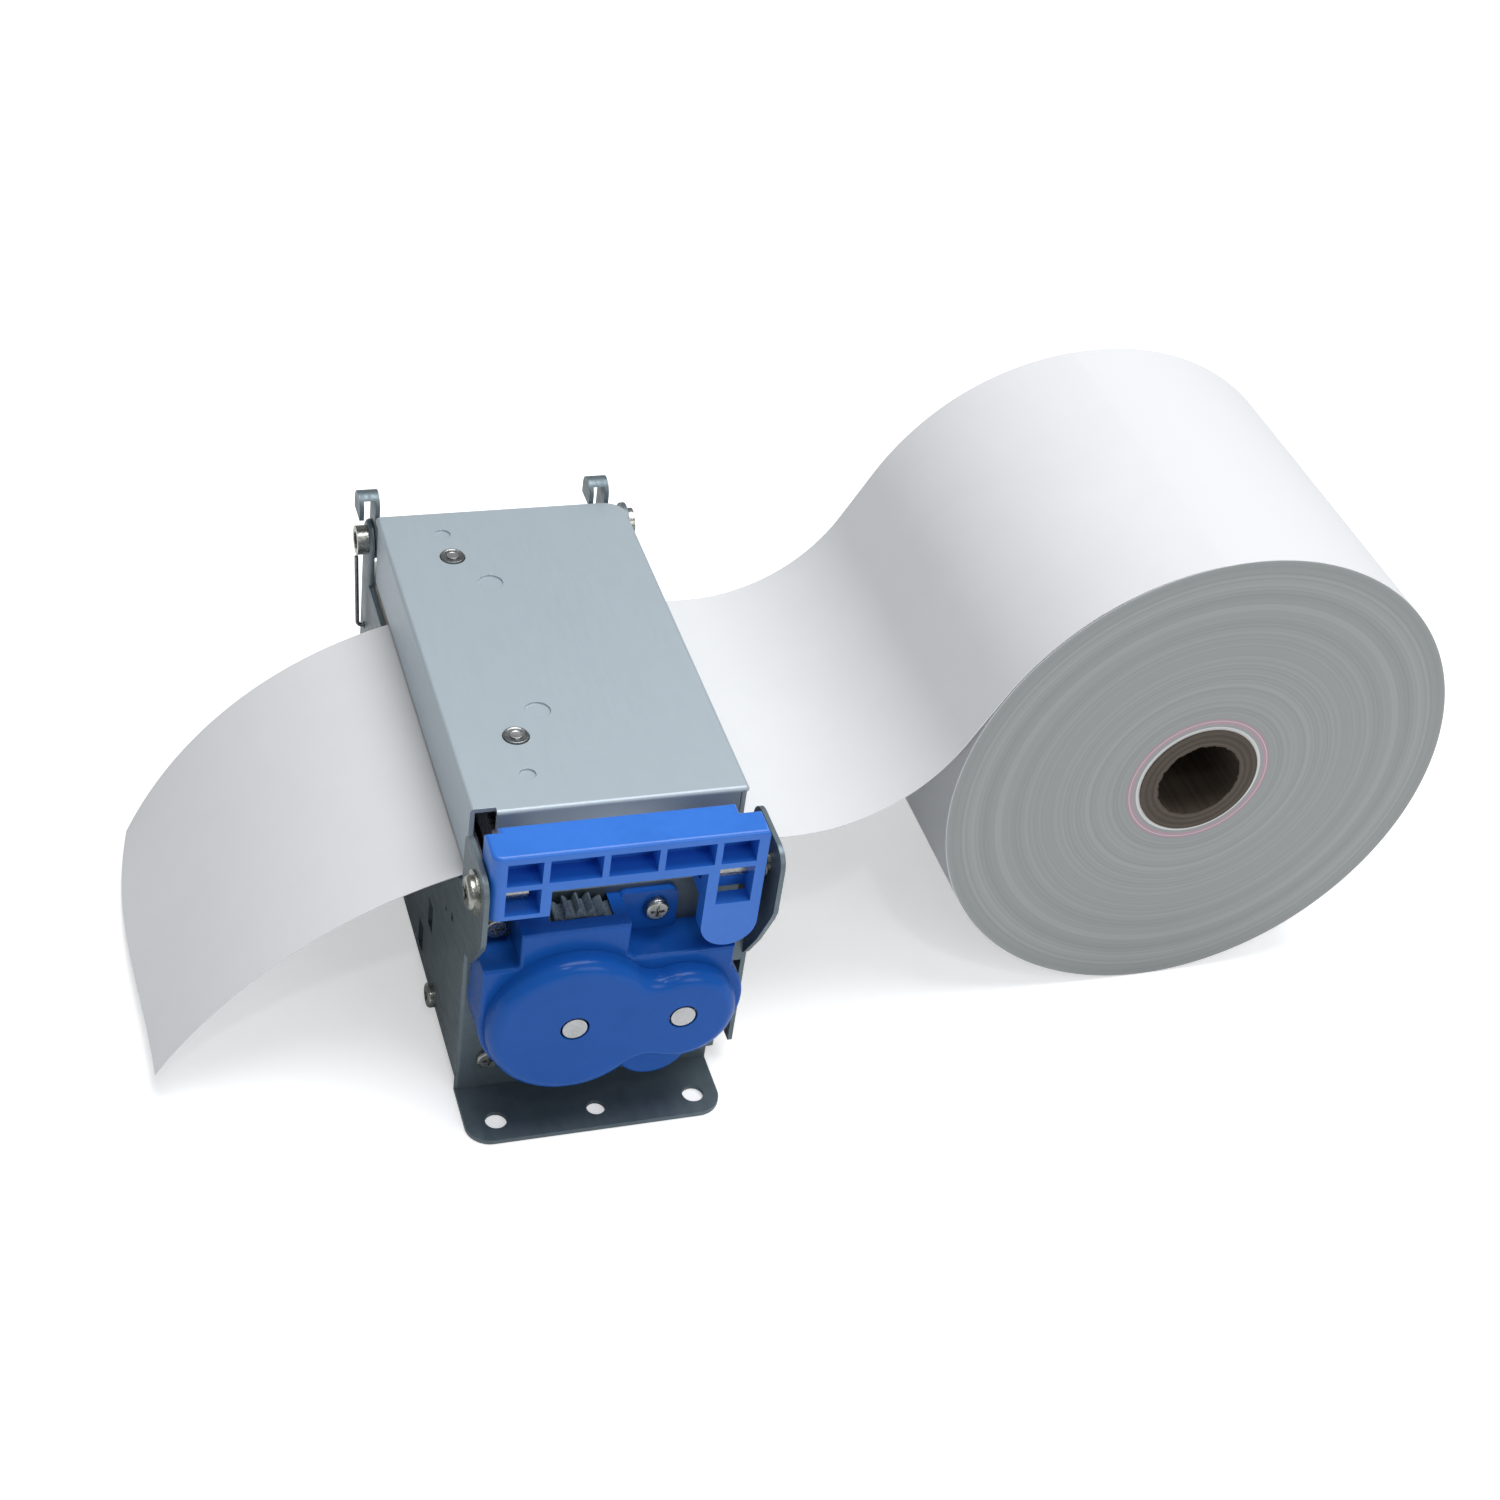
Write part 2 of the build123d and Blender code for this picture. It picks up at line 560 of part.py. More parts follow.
def bulge_face(inset):
    """Outline of the raised front: a lobe round each axle, joined by a waist of tangent arcs."""
    big = (REDUCTION_AT[0], REDUCTION_AT[1] - BIG_DROP)
    small = (IDLER_AT[0], IDLER_AT[1] - SMALL_DROP)
    hollows = [on_circles(big, BIG_LOBE + WAIST, small, SMALL_LOBE + WAIST, side) for side in (1, -1)]
    corners = []
    for centre, radius, order in ((big, BIG_LOBE, hollows), (small, SMALL_LOBE, hollows[::-1])):
        share = (radius - inset) / (radius + WAIST)
        for hollow in order:
            corners.append(tuple(start + share * (end - start) for start, end in zip(centre, hollow)))
    face = outline(*corners)
    face += disc(BIG_LOBE - inset, big) + disc(SMALL_LOBE - inset, small)
    for hollow in hollows:
        face -= disc(WAIST + inset, hollow)
    return face


def base_face(inset):
    """Outline of the cover's deeper base, against the end plate."""
    big = (REDUCTION_AT[0], REDUCTION_AT[1] - BIG_DROP)
    small = (IDLER_AT[0] - 0.5, IDLER_AT[1] - SMALL_DROP - 0.2)
    left = area((COVER_LEFT + inset, SHELF_X[0] + 4), (26, LEFT_SHELF_TOP - inset))
    shelf = area((SHELF_X[0] + inset, SHELF_X[1] - inset), (30, SHELF_TOP - inset))
    right = area((26, RIGHT_SHELF_X - inset), (28, RIGHT_SHELF_TOP - inset))
    base = disc(BIG_LOBE + BASE_STEP - inset, big) + left + shelf + right
    base += disc(SMALL_LOBE + BASE_STEP + 1.6 - inset, small)
    return base + disc(LOWER_LOBE - inset, (MOTOR_AT[0], MOTOR_AT[1] - 0.7))


def gear_cover():
    bulge = slab_y(bulge_face(0), (COVER_FACE, BULGE_BACK))
    rim = bulge.faces().sort_by(Axis.Y)[0].edges()
    bulge = fillet(rim, FRONT_ROUND)
    base = slab_y(base_face(0), (BULGE_BACK, 0))
    front = base.faces().sort_by(Axis.Y)[0].edges()
    base = fillet(front, BASE_ROUND)
    cover = bulge + base
    cover -= slab_y(bulge_face(COVER_WALL - 0.3), (COVER_FACE + COVER_WALL, BULGE_BACK + 0.7))
    cover -= slab_y(base_face(COVER_WALL), (BULGE_BACK + 0.7, 0))
    gear_room = pitch_radius(PLATEN_TEETH, FEED_MODULE) + FEED_MODULE + 2 * GEAR_TIP_GAP
    cover -= rod_y(gear_room, PLATEN_AT, (PLATEN_LAYER[0] - 0.7, 0))
    for at in (REDUCTION_AT, IDLER_AT):
        cover -= rod_y(AXLE_WINDOW, at, (COVER_FACE, COVER_FACE + 2 * COVER_WALL))
    tab = slab_y(area((SHELF_X[1] - 1, TAB_RIGHT), (RIGHT_SHELF_TOP - 2, COVER_TAB_TOP)), (-COVER_TAB, 0))
    top = tab.edges().filter_by(Axis.Y).group_by(Axis.Z)[-1]
    tab = fillet(top, 2.0)
    tab -= rod_y(gear_room, PLATEN_AT, (-3, 0))
    cover += tab
    return cover - rod_y(SCREW_HOLE, COVER_SCREW_AT, (-3, 1))


# ---- lever ---------------------------------------------------------------------------------
def lever():
    body = block(LEVER_X, LEVER_Y, LEVER_Z)
    body -= block((48.6, LEVER_X[1] + 1), (-4.2, 0), LEVER_Z)
    body -= block((LEVER_X[0] - 1, 2.9), (-2.9, 0), LEVER_Z)
    body += block(LEFT_LEG, LEVER_Y, (LEFT_LEG_BOTTOM, LEVER_Z[0]))
    body += block(RIGHT_LEG, LEVER_Y, (RIGHT_LEG_BEND, LEVER_Z[0]))
    corners = body.edges().filter_by(Axis.Z).group_by(Axis.Y)[0]
    body = fillet(corners.sort_by(Axis.X)[0], LEVER_CORNER)
    body = fillet(body.edges().group_by(Axis.Z)[-1], LEVER_EDGE)
    leg = area(RIGHT_LEG, (LEG_END[1], RIGHT_LEG_BEND + 1)) + disc(LEG_END_RADIUS, LEG_END)
    body += slab_y(leg, (LEVER_Y[0], RIGHT_LEG_BACK))
    depth = (LEVER_Y[0] - 1, POCKET_BACK)
    for left, right in zip(POCKET_EDGES[0::2], POCKET_EDGES[1::2]):
        body -= block((left, right), depth, POCKET_Z)
    leg_pocket_top = POCKET_Z[0] - POCKET_RIB
    body -= block((POCKET_EDGES[0], POCKET_EDGES[1]), depth, (LEFT_LEG_BOTTOM + 1.0, leg_pocket_top))
    body -= block((POCKET_EDGES[-2], POCKET_EDGES[-1]), depth, (RIGHT_LEG_BEND, leg_pocket_top))
    return body - rod_x(LEVER_PIN + RUN, grown(LEVER_X, 1), *LEVER_PIVOT)


def lever_pivot_left():
    screw = pan_screw(3.3, 2.0, LEVER_PIN, 9.5)
    washer = Pos(0, 0, 0.25) * (Cylinder(4.3, 0.5) - Cylinder(3.3, 0.5))
    return point_along((-1, 0, 0), (LEFT_WALL, *LEVER_PIVOT), screw + washer)


def lever_pivot_right():
    screw = pan_screw(3.3, 1.8, LEVER_PIN, FRAME_WIDTH - RIGHT_LEG[0] - 2.0)
    return point_along((1, 0, 0), (FRAME_WIDTH, *LEVER_PIVOT), screw)


def lever_spring():
    wire = 0.3
    turns = 2.0
    pitch = (size(SPRING_COIL_X) - 2 * wire) / turns
    return coil(2.55, wire, pitch, turns, (SPRING_COIL_X[0] + wire, *LEVER_PIVOT), (1, 0, 0))


# ---- head unit -----------------------------------------------------------------------------


def cutter_cover():
    top = area(COVER_X, COVER_Y) - area((COVER_X[0], NEAR_LIP_X[0]), (COVER_Y[0], COVER_Y[0] + 1.6))
    far_right = top.vertices().sort_by(Axis.X)[-2:].sort_by(Axis.Y)[-1]
    top = fillet(far_right, 5.0)
    cover = extrude(Plane.XY.offset(COVER_UNDER) * top, amount=GAUGE)
    sides = ((COVER_X[0], COVER_X[0] + GAUGE, LEFT_FLANGE_BOTTOM),
             (COVER_X[1] - GAUGE, COVER_X[1], RIGHT_FLANGE_BOTTOM))
    for inner, outer, bottom in sides:
        cover += block((inner, outer), (COVER_Y[0] + 1.6, COVER_FLANGE_END), (bottom, COVER_TOP))
    cover += block(NEAR_LIP_X, (COVER_Y[0], COVER_Y[0] + GAUGE), (NEAR_LIP_BOTTOM, COVER_TOP))
    long_edges = cover.edges().filter_by(Axis.Y).group_by(Axis.Z)[-1].filter_by(lambda edge: edge.length > 60)
    cover = fillet(long_edges, 0.9)
    near_edge = cover.edges().filter_by(Axis.X).group_by(Axis.Z)[-1].sort_by(Axis.Y)[0]
    cover = fillet(near_edge, 0.9)
    dimples = [(POST_X - 0.3, PAPER_NEAR + 8.5, DIMPLE_SMALL), (POST_X - 0.4, PAPER_FAR + 9.1, DIMPLE_SMALL)]
    dimples += [(SPRING_X, y, DIMPLE_LARGE) for y in SPRING_Y]
    for x, y, radius in dimples:
        cover += rod_z(radius, (x, y), (COVER_UNDER - DIMPLE_DEPTH, COVER_UNDER))
        cover -= rod_z(radius, (x, y), (COVER_TOP - DIMPLE_DEPTH, COVER_TOP))
    for y in POST_Y:
        cover -= rod_z(STUD_HOLE, (POST_X, y), (COVER_UNDER - 1, COVER_TOP + 1))
    return cover


def hinge_bracket():
    """A strip under the cover with an arm at each end, and a hook at the top of each arm."""
    strip_z = (COVER_UNDER - GAUGE, COVER_UNDER)
    bracket = block((COVER_X[0] + GAUGE + 0.2, ARM_X[1][1]), BRACKET_Y, strip_z)
    bracket += block((ARM_X[0][0], ARM_X[1][1]), (ARM_ROOT, BRACKET_Y[1]), strip_z)
    hook_y = HINGE_Y + HOOK_SHIFT
    hook_z = HOOK_TOP - HOOK_HALF
    hook = area((hook_y - HOOK_HALF, hook_y + HOOK_HALF), (HINGE_Z, hook_z)) + disc(HOOK_HALF, (hook_y, hook_z))
    arm = outline((ARM_ROOT, COVER_UNDER), (ARM_ROOT, COVER_UNDER - 4.5), (HINGE_Y - 2.5, HINGE_Z - 3.2),
                  (HINGE_Y + 2.6, HINGE_Z + 3.2), (BRACKET_Y[1], COVER_UNDER))
    arm += disc(EAR_RADIUS - 0.4, (HINGE_Y, HINGE_Z)) + hook
    arm -= disc(HINGE_PIN + RUN, (HINGE_Y, HINGE_Z))
    lip = hook & area(grown((hook_y, hook_y), HOOK_HALF), (HOOK_TOP - GAUGE, HOOK_TOP))
    leg = hook & area(grown((hook_y, hook_y), HOOK_HALF), (HOOK_BOTTOM, HOOK_TOP))
    for x in ARM_X:
        bracket += slab_x(arm, x) + slab_x(lip, (x[0] - HOOK_REACH, x[0]))
        bracket += slab_x(leg, (x[0] - HOOK_REACH, x[0] - HOOK_REACH + GAUGE))
    return bracket


def hinge_pin_left():
    pin = rod_x(HINGE_PIN, (LEFT_WALL, ARM_X[0][1] + 1.0), HINGE_Y, HINGE_Z)
    head = rod_x(3.2, (LEFT_WALL - 2.4, LEFT_WALL), HINGE_Y, HINGE_Z)
    return pin + head - rod_x(1.9, (LEFT_WALL - 2.5, LEFT_WALL - 1.5), HINGE_Y, HINGE_Z)


def hinge_pin_right():
    pin = rod_x(HINGE_PIN, (ARM_X[1][0] - 1.0, FRAME_WIDTH), HINGE_Y, HINGE_Z)
    spacer = rod_x(3.2, (ARM_X[1][1] + 0.2, RIGHT_PLATE), HINGE_Y, HINGE_Z)
    return pin + spacer + rod_x(3.2, (FRAME_WIDTH, FRAME_WIDTH + 1.6), HINGE_Y, HINGE_Z)


def wire_hook():
    y, z = WIRE_AT
    out = LEFT_WALL - 1.5
    path = FilletPolyline((3.0, y, z), (out, y, z), (out - 0.4, y + 1.6, z + WIRE_RISE), radius=1.1)
    wire = sweep(Plane(origin=path @ 0, z_dir=path % 0) * Circle(WIRE_RADIUS), path=path)
    return wire + rod_x(WIRE_HOLE + 0.6, (WALL_X[1], WALL_X[1] + 1.0), y, z)


def guide_post(y):
    at = (POST_X, y)
    post = rod_z(2.0, at, (PAPER_TOP + 0.7, COVER_UNDER)) + rod_z(3.4, at, (CARRIAGE_Z + 2.3, COVER_UNDER))
    return post + rod_z(STUD, at, (COVER_UNDER, COVER_TOP + 0.15))


def moving_blade():
    y = (PAPER_NEAR - 0.1, PAPER_FAR + 2.2)
    low = PAPER_TOP + 1.0
    edge = outline((y[0], CARRIAGE_Z + 0.8), (y[0], low + 1.6), (y[1], low), (y[1], CARRIAGE_Z + 0.8))
    blade = slab_x(edge, BLADE_X)
    flange = area((BLADE_X[0], CARRIAGE_X), (y[0], CUT_BRACKET[0] - 0.6))
    flange += area((BLADE_X[0], RACK_BACK), (y[0], CUT_LAYER[1]))
    blade += extrude(Plane.XY.offset(CARRIAGE_Z) * flange, amount=0.8)
    for post in POST_Y:
        blade -= rod_z(BUSH_RADIUS, (POST_X, post), (CARRIAGE_Z - 1, CARRIAGE_Z + 2))
    return blade


def blade_bush(y):
    bush = rod_z(BUSH_RADIUS, (POST_X, y), (CARRIAGE_Z - 2.7, CARRIAGE_Z + 1.2))
    return bush - rod_z(2.0 + RUN, (POST_X, y), (CARRIAGE_Z - 4, CARRIAGE_Z + 3))


def blade_rack():
    pitch = pi * CUT_MODULE
    half = pitch / 4 - BACKLASH / 4
    slope = tan(PRESSURE_ANGLE)
    root = 1.2 * CUT_MODULE
    z = RACK_Z
    rack = area((RACK_BACK, RACK_LINE - root), z)
    count = int(size(z) / pitch) + 2
    for index in range(-count, count):
        centre = CUT_Z + (index + 0.5) * pitch
        if centre - half - root * slope > z[0] and centre + half + root * slope < z[1]:
            rack += outline((RACK_LINE - root, centre - half - root * slope),
                            (RACK_LINE + CUT_MODULE, centre - half + CUT_MODULE * slope),
                            (RACK_LINE + CUT_MODULE, centre + half - CUT_MODULE * slope),
                            (RACK_LINE - root, centre + half + root * slope))
    rack = slab_y(rack, CUT_LAYER)
    return rack + block((RACK_BACK - 4, RACK_BACK), CUT_LAYER, (CARRIAGE_Z + 0.8, CARRIAGE_Z + 2.2))


RACK_PHASE = pi
CUT_IDLER_PHASE = meshed_phase((RACK_PINION_X, CUT_Z), RACK_PHASE, RACK_TEETH,
                               (CUT_IDLER_X, CUT_Z), CUT_IDLER_TEETH)
CUT_MOTOR_PHASE = meshed_phase((CUT_IDLER_X, CUT_Z), CUT_IDLER_PHASE, CUT_IDLER_TEETH,
                               (CUT_MOTOR_X, CUT_Z), CUT_MOTOR_TEETH)


def cut_gear(teeth, x, phase):
    return slab_y(gear_face(teeth, CUT_MODULE, (x, CUT_Z), phase), CUT_LAYER)


def rack_pinion():
    gear = cut_gear(RACK_TEETH, RACK_PINION_X, RACK_PHASE)
    return gear - rod_y(CUT_AXLE + RUN, (RACK_PINION_X, CUT_Z), grown(CUT_LAYER, 1))


def cutter_idler():
    gear = cut_gear(CUT_IDLER_TEETH, CUT_IDLER_X, CUT_IDLER_PHASE)
    return gear - rod_y(CUT_AXLE + RUN, (CUT_IDLER_X, CUT_Z), grown(CUT_LAYER, 1))


def cutter_motor_pinion():
    shaft = rod_y(CUT_SHAFT, (CUT_MOTOR_X, CUT_Z), (CUT_BRACKET[0] - 10, CUT_LAYER[1]))
    return cut_gear(CUT_MOTOR_TEETH, CUT_MOTOR_X, CUT_MOTOR_PHASE) + shaft


def cutter_motor():
    y = (CUT_BRACKET[0] - CUT_MOTOR_LENGTH, CUT_BRACKET[0])
    can = rod_y(CUT_MOTOR_RADIUS, (CUT_MOTOR_X, CUT_Z), y)
    flats = 5.0
    can &= block(grown((CUT_MOTOR_X, CUT_MOTOR_X), CUT_MOTOR_RADIUS + 1), y, grown((CUT_Z, CUT_Z), flats))
    return can - rod_y(CUT_SHAFT + RUN, (CUT_MOTOR_X, CUT_Z), (y[1] - 10.5, y[1] + 1))


def gear_bracket():
    plate = block((17.0, CUT_MOTOR_X + 7.5), CUT_BRACKET, (PAPER_TOP + 2.8, COVER_UNDER))
    plate += block((17.0, 29.5), (CUT_BRACKET[0] - 6.5, CUT_BRACKET[1]), (COVER_UNDER - GAUGE, COVER_UNDER))
    plate -= rod_y(2.0, (CUT_MOTOR_X, CUT_Z), grown(CUT_BRACKET, 1))
    for x in (RACK_PINION_X, CUT_IDLER_X):
        plate -= rod_y(CUT_AXLE, (x, CUT_Z), grown(CUT_BRACKET, 1))
    return plate


def cut_axle(x):
    axle = rod_y(CUT_AXLE, (x, CUT_Z), (CUT_BRACKET[0] - 0.3, CUT_LAYER[1] + 0.5))
    return axle + rod_y(1.6, (x, CUT_Z), (CUT_LAYER[1] + 0.15, CUT_LAYER[1] + 0.5))


# ---- print head ----------------------------------------------------------------------------


def head_block():
    head = block(HEAD_X, HEAD_Y, HEAD_Z)
    for index in range(4):
        x = HEAD_X[0] + 5.6 + index * 2.2
        if abs(x - PIN_X) > HEAD_PIN + 1.2:
            head -= block((x, x + 1.0), grown(HEAD_Y, 1), (HEAD_Z[1] - 1.8, HEAD_Z[1] + 1))
    for y in PIN_Y:
        head -= rod_z(HEAD_PIN + RUN, (PIN_X, y), grown(HEAD_Z, 1))
    return head


def head_substrate():
    return block((HEAD_X[0] + 0.3, PIN_X - HEAD_PIN - 0.4), HEAD_Y, SUBSTRATE_Z)


def head_pin(y):
    pin = rod_z(HEAD_PIN, (PIN_X, y), (HEAD_Z[0] + 0.9, COVER_UNDER))
    return pin + rod_z(HEAD_PIN + 1, (PIN_X, y), (COVER_UNDER - 1.2, COVER_UNDER))


def head_spring(y):
    wire = 0.3
    turns = 5
    low = HEAD_Z[1] + 0.05 + wire
    high = COVER_UNDER - DIMPLE_DEPTH - 0.05 - wire
    return coil(2.1, wire, (high - low) / turns, turns, (SPRING_X, y, low), (0, 0, 1))


# ---- platen --------------------------------------------------------------------------------
def platen_roller():
    y = (PAPER_NEAR - 1.3, PAPER_FAR + 1.2)
    return rod_y(PLATEN_RADIUS, PLATEN_AT, y) - rod_y(PLATEN_SHAFT + 1.5, PLATEN_AT, grown(y, 1))


def platen_shaft():
    core = rod_y(PLATEN_SHAFT + 1.5, PLATEN_AT, (PAPER_NEAR - 1.3, PAPER_FAR + 1.2))
    return core + rod_y(PLATEN_SHAFT, PLATEN_AT, (PLATEN_LAYER[0], FRAME_LENGTH + 0.8))


# ---- paper ---------------------------------------------------------------------------------


def turned(point, centre, angle):
    dx = point[0] - centre[0]
    dz = point[1] - centre[1]
    return (centre[0] + dx * cos(angle) - dz * sin(angle), centre[1] + dx * sin(angle) + dz * cos(angle))


def arc_through(start, centre, angle):
    return ThreePointArc(start, turned(start, centre, angle / 2), turned(start, centre, angle))


def paper_outline(lower, upper):
    first = Line(lower.edges()[0] @ 0, upper.edges()[0] @ 0)
    last = Line(lower.edges()[-1] @ 1, upper.edges()[-1] @ 1)
    return make_face(lower.edges() + upper.edges() + [first, last])


def web_line(level):
    """The web's path at a height above its underside: flat, up a bend, then on to the roll."""
    bend = (WEB_BEND_X, PAPER_Z + WEB_BEND_RADIUS)
    bend_radius = WEB_BEND_RADIUS - level
    roll = (ROLL_X, ROLL_RADIUS)
    wrap_radius = ROLL_RADIUS + ROLL_GAP + level
    span = hypot(roll[0] - bend[0], roll[1] - bend[1])
    line = atan2(roll[1] - bend[1], roll[0] - bend[0]) - acos((bend_radius + wrap_radius) / span)
    leave = (bend[0] + bend_radius * cos(line), bend[1] + bend_radius * sin(line))
    meet = (roll[0] - wrap_radius * cos(line), roll[1] - wrap_radius * sin(line))
    start = (WEB_BEND_X, PAPER_Z + level)
    flat = Line((WEB_START, PAPER_Z + level), start)
    up = arc_through(start, bend, line + pi / 2)
    on = Line(leave, meet)
    wrap = arc_through(meet, roll, WEB_END - (line + pi))
    return Curve() + [flat, up, on, wrap]


def slip_line(level):
    start = (SLIP_START, PAPER_Z + level)
    lead = SLIP_LEAD_RADIUS + level
    lead_centre = (SLIP_START, PAPER_Z - SLIP_LEAD_RADIUS)
    first = arc_through(start, lead_centre, SLIP_LEAD_TURN)
    join = turned(start, lead_centre, SLIP_LEAD_TURN)
    reach = (SLIP_RADIUS + level) / lead
    centre = (join[0] + (lead_centre[0] - join[0]) * reach, join[1] + (lead_centre[1] - join[1]) * reach)
    return Curve() + [first, arc_through(join, centre, SLIP_TURN)]


def paper_web():
    return slab_y(paper_outline(web_line(0), web_line(PAPER_THICK)), (PAPER_NEAR, PAPER_FAR))


def paper_slip():
    return slab_y(paper_outline(slip_line(0), slip_line(PAPER_THICK)), (PAPER_NEAR, PAPER_FAR))


def paper_roll():
    y = (PAPER_NEAR, PAPER_FAR)
    return rod_y(ROLL_RADIUS, (ROLL_X, ROLL_RADIUS), y) - rod_y(CORE_RADIUS, (ROLL_X, ROLL_RADIUS), grown(y, 1))


def roll_core():
    y = (PAPER_NEAR, PAPER_FAR)
    return rod_y(CORE_RADIUS, (ROLL_X, ROLL_RADIUS), y) - rod_y(CORE_BORE, (ROLL_X, ROLL_RADIUS), grown(y, 1))


# ---- the assembly --------------------------------------------------------------------------
save(main_frame(), "main_frame")
save(right_side_plate(), "right_side_plate")
for number, y in enumerate((SIDE_SCREW_INSET, FRAME_LENGTH - SIDE_SCREW_INSET), 1):
    screw = pan_screw(2.6, 1.6, SCREW_HOLE, 4)
    save(point_along((1, 0, 0), (FRAME_WIDTH, y, SIDE_SCREW_Z), screw), f"side_screw_{number}")
save(tie_rod(), "tie_rod")
for number, at in enumerate((TIE_AT, BAR_SCREW_AT), 1):
    screw = pan_screw(2.4, 1.2, SCREW_HOLE, 7)
    save(point_along((0, -1, 0), (at[0], 0, at[1]), screw), f"plate_screw_{number}")
screw = pan_screw(2.6, 1.5, SCREW_HOLE, GAUGE + 1.0)
save(point_along((-1, 0, 0), (LEFT_WALL, *WALL_SCREW), screw), "wall_screw")
save(blade_bar(), "blade_bar")
save(fixed_blade(), "fixed_blade")
save(exit_guide(), "exit_guide")
save(paper_bed(), "paper_bed")
save(paper_sensor(), "paper_sensor")
save(platen_bush((-0.6, 5.0), (GAUGE, 2.2)), "platen_bush_near")
far_flange = (FRAME_LENGTH - GAUGE - 1.2, FRAME_LENGTH - GAUGE)
save(platen_bush((FRAME_LENGTH - 6.0, FRAME_LENGTH + 0.4), far_flange), "platen_bush_far")
save(feed_motor(), "feed_motor")
save(feed_axle(REDUCTION_AT), "reduction_axle")
save(feed_axle(IDLER_AT), "idler_axle")
save(gear_cover(), "gear_cover")
cover_screw_at = (COVER_SCREW_AT[0], -COVER_TAB, COVER_SCREW_AT[1])
save(point_along((0, -1, 0), cover_screw_at, pan_screw(2.5, 1.6, SCREW_HOLE, 5)), "gear_cover_screw")
save(lever_pivot_left(), "lever_pivot_left")
save(lever_pivot_right(), "lever_pivot_right")
save(lever_spring(), "lever_spring")
save(hinge_pin_left(), "hinge_pin_left")
save(hinge_pin_right(), "hinge_pin_right")
save(wire_hook(), "wire_hook")
save(paper_web(), "paper_web")
save(paper_slip(), "paper_slip")
save(lever(), "lever")
save(cutter_cover(), "cutter_cover")
save(hinge_bracket(), "hinge_bracket")
for number, y in enumerate(POST_Y, 1):
    save(guide_post(y), f"guide_post_{number}")
    save(blade_bush(y), f"blade_bush_{number}")
save(gear_bracket(), "gear_bracket")
save(cutter_motor(), "cutter_motor")
save(cut_axle(RACK_PINION_X), "rack_pinion_axle")
save(cut_axle(CUT_IDLER_X), "cutter_idler_axle")
for number, y in enumerate(PIN_Y, 1):
    save(head_pin(y), f"head_pin_{number}")
for number, y in enumerate(SPRING_Y, 1):
    save(head_spring(y), f"head_spring_{number}")
save(head_block(), "head_block")
save(head_substrate(), "head_substrate")
save(moving_blade(), "moving_blade")
save(blade_rack(), "blade_rack")
save(rack_pinion(), "rack_pinion")
save(cutter_idler(), "cutter_idler")
save(cutter_motor_pinion(), "cutter_motor_pinion")
save(platen_roller(), "platen_roller")
save(platen_shaft(), "platen_shaft")
save(platen_gear(), "platen_gear")
save(reduction_gear(), "reduction_gear")
save(idler_gear(), "idler_gear")
save(feed_motor_pinion(), "feed_motor_pinion")
save(paper_roll(), "paper_roll")
save(roll_core(), "roll_core")
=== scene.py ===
# %% [markdown]
# A receipt printer mechanism, the kind that sits inside a pay station, with its paper roll, the web
# of paper that feeds it and a printed slip coming out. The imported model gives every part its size
# and place. This file gives them edges, surfaces and light, and remakes the paper in finer detail.

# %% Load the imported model
import json
import math
import random

import bmesh
import bpy
from mathutils import Matrix, Vector


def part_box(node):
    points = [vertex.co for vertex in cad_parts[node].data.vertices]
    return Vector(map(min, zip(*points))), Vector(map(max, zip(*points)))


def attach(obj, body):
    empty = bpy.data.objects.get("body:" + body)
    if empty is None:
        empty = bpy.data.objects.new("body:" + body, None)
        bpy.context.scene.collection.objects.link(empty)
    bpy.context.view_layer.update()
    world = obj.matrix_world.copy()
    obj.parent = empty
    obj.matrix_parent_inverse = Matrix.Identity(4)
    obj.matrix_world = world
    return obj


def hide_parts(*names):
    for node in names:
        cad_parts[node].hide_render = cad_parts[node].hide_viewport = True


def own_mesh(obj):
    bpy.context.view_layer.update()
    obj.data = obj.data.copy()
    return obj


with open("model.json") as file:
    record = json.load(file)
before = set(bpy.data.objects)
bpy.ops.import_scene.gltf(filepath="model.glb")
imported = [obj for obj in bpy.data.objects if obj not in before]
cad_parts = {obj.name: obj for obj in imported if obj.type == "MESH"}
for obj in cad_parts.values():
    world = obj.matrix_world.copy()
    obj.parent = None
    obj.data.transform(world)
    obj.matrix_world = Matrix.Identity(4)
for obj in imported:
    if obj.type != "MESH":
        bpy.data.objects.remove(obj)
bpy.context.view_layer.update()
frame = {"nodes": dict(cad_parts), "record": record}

MM = 0.001
scene = bpy.context.scene
nodes = frame["nodes"]
random.seed(7)
print("parts loaded:", len(nodes))

# %% [markdown]
# The camera stands in front of the gear side, above the printer and a little to its left, and looks
# down at it. A lens longer than normal keeps the box shapes from flaring.

# %% Camera
CAMERA_PLACE = (-117.9 * MM, -391.9 * MM, 381.4 * MM)
CAMERA_TURN = (51.03, -7.03, -16.81)
CAMERA_LENS = 61.74
SENSOR_WIDTH = 36.0
NEAREST = 0.01

camera_data = bpy.data.cameras.new("camera")
camera_data.lens = CAMERA_LENS
camera_data.sensor_width = SENSOR_WIDTH
camera_data.clip_start = NEAREST
camera = bpy.data.objects.new("camera", camera_data)
camera.location = CAMERA_PLACE
camera.rotation_euler = [math.radians(angle) for angle in CAMERA_TURN]
scene.collection.objects.link(camera)
scene.camera = camera
print("camera at", [round(value, 3) for value in camera.location])

# %% [markdown]
# Product light is soft: one broad lamp overhead, one weaker lamp from the front right, and a pale
# floor that sends light back up. A small lamp high in front adds the hard little highlights that
# glossy plastic shows on its rounded rims. The left side gets no lamp, so the frame's wall falls
# into shade and the form reads. The floor glows a little for the camera alone: it stays white
# without lighting the metal from below.

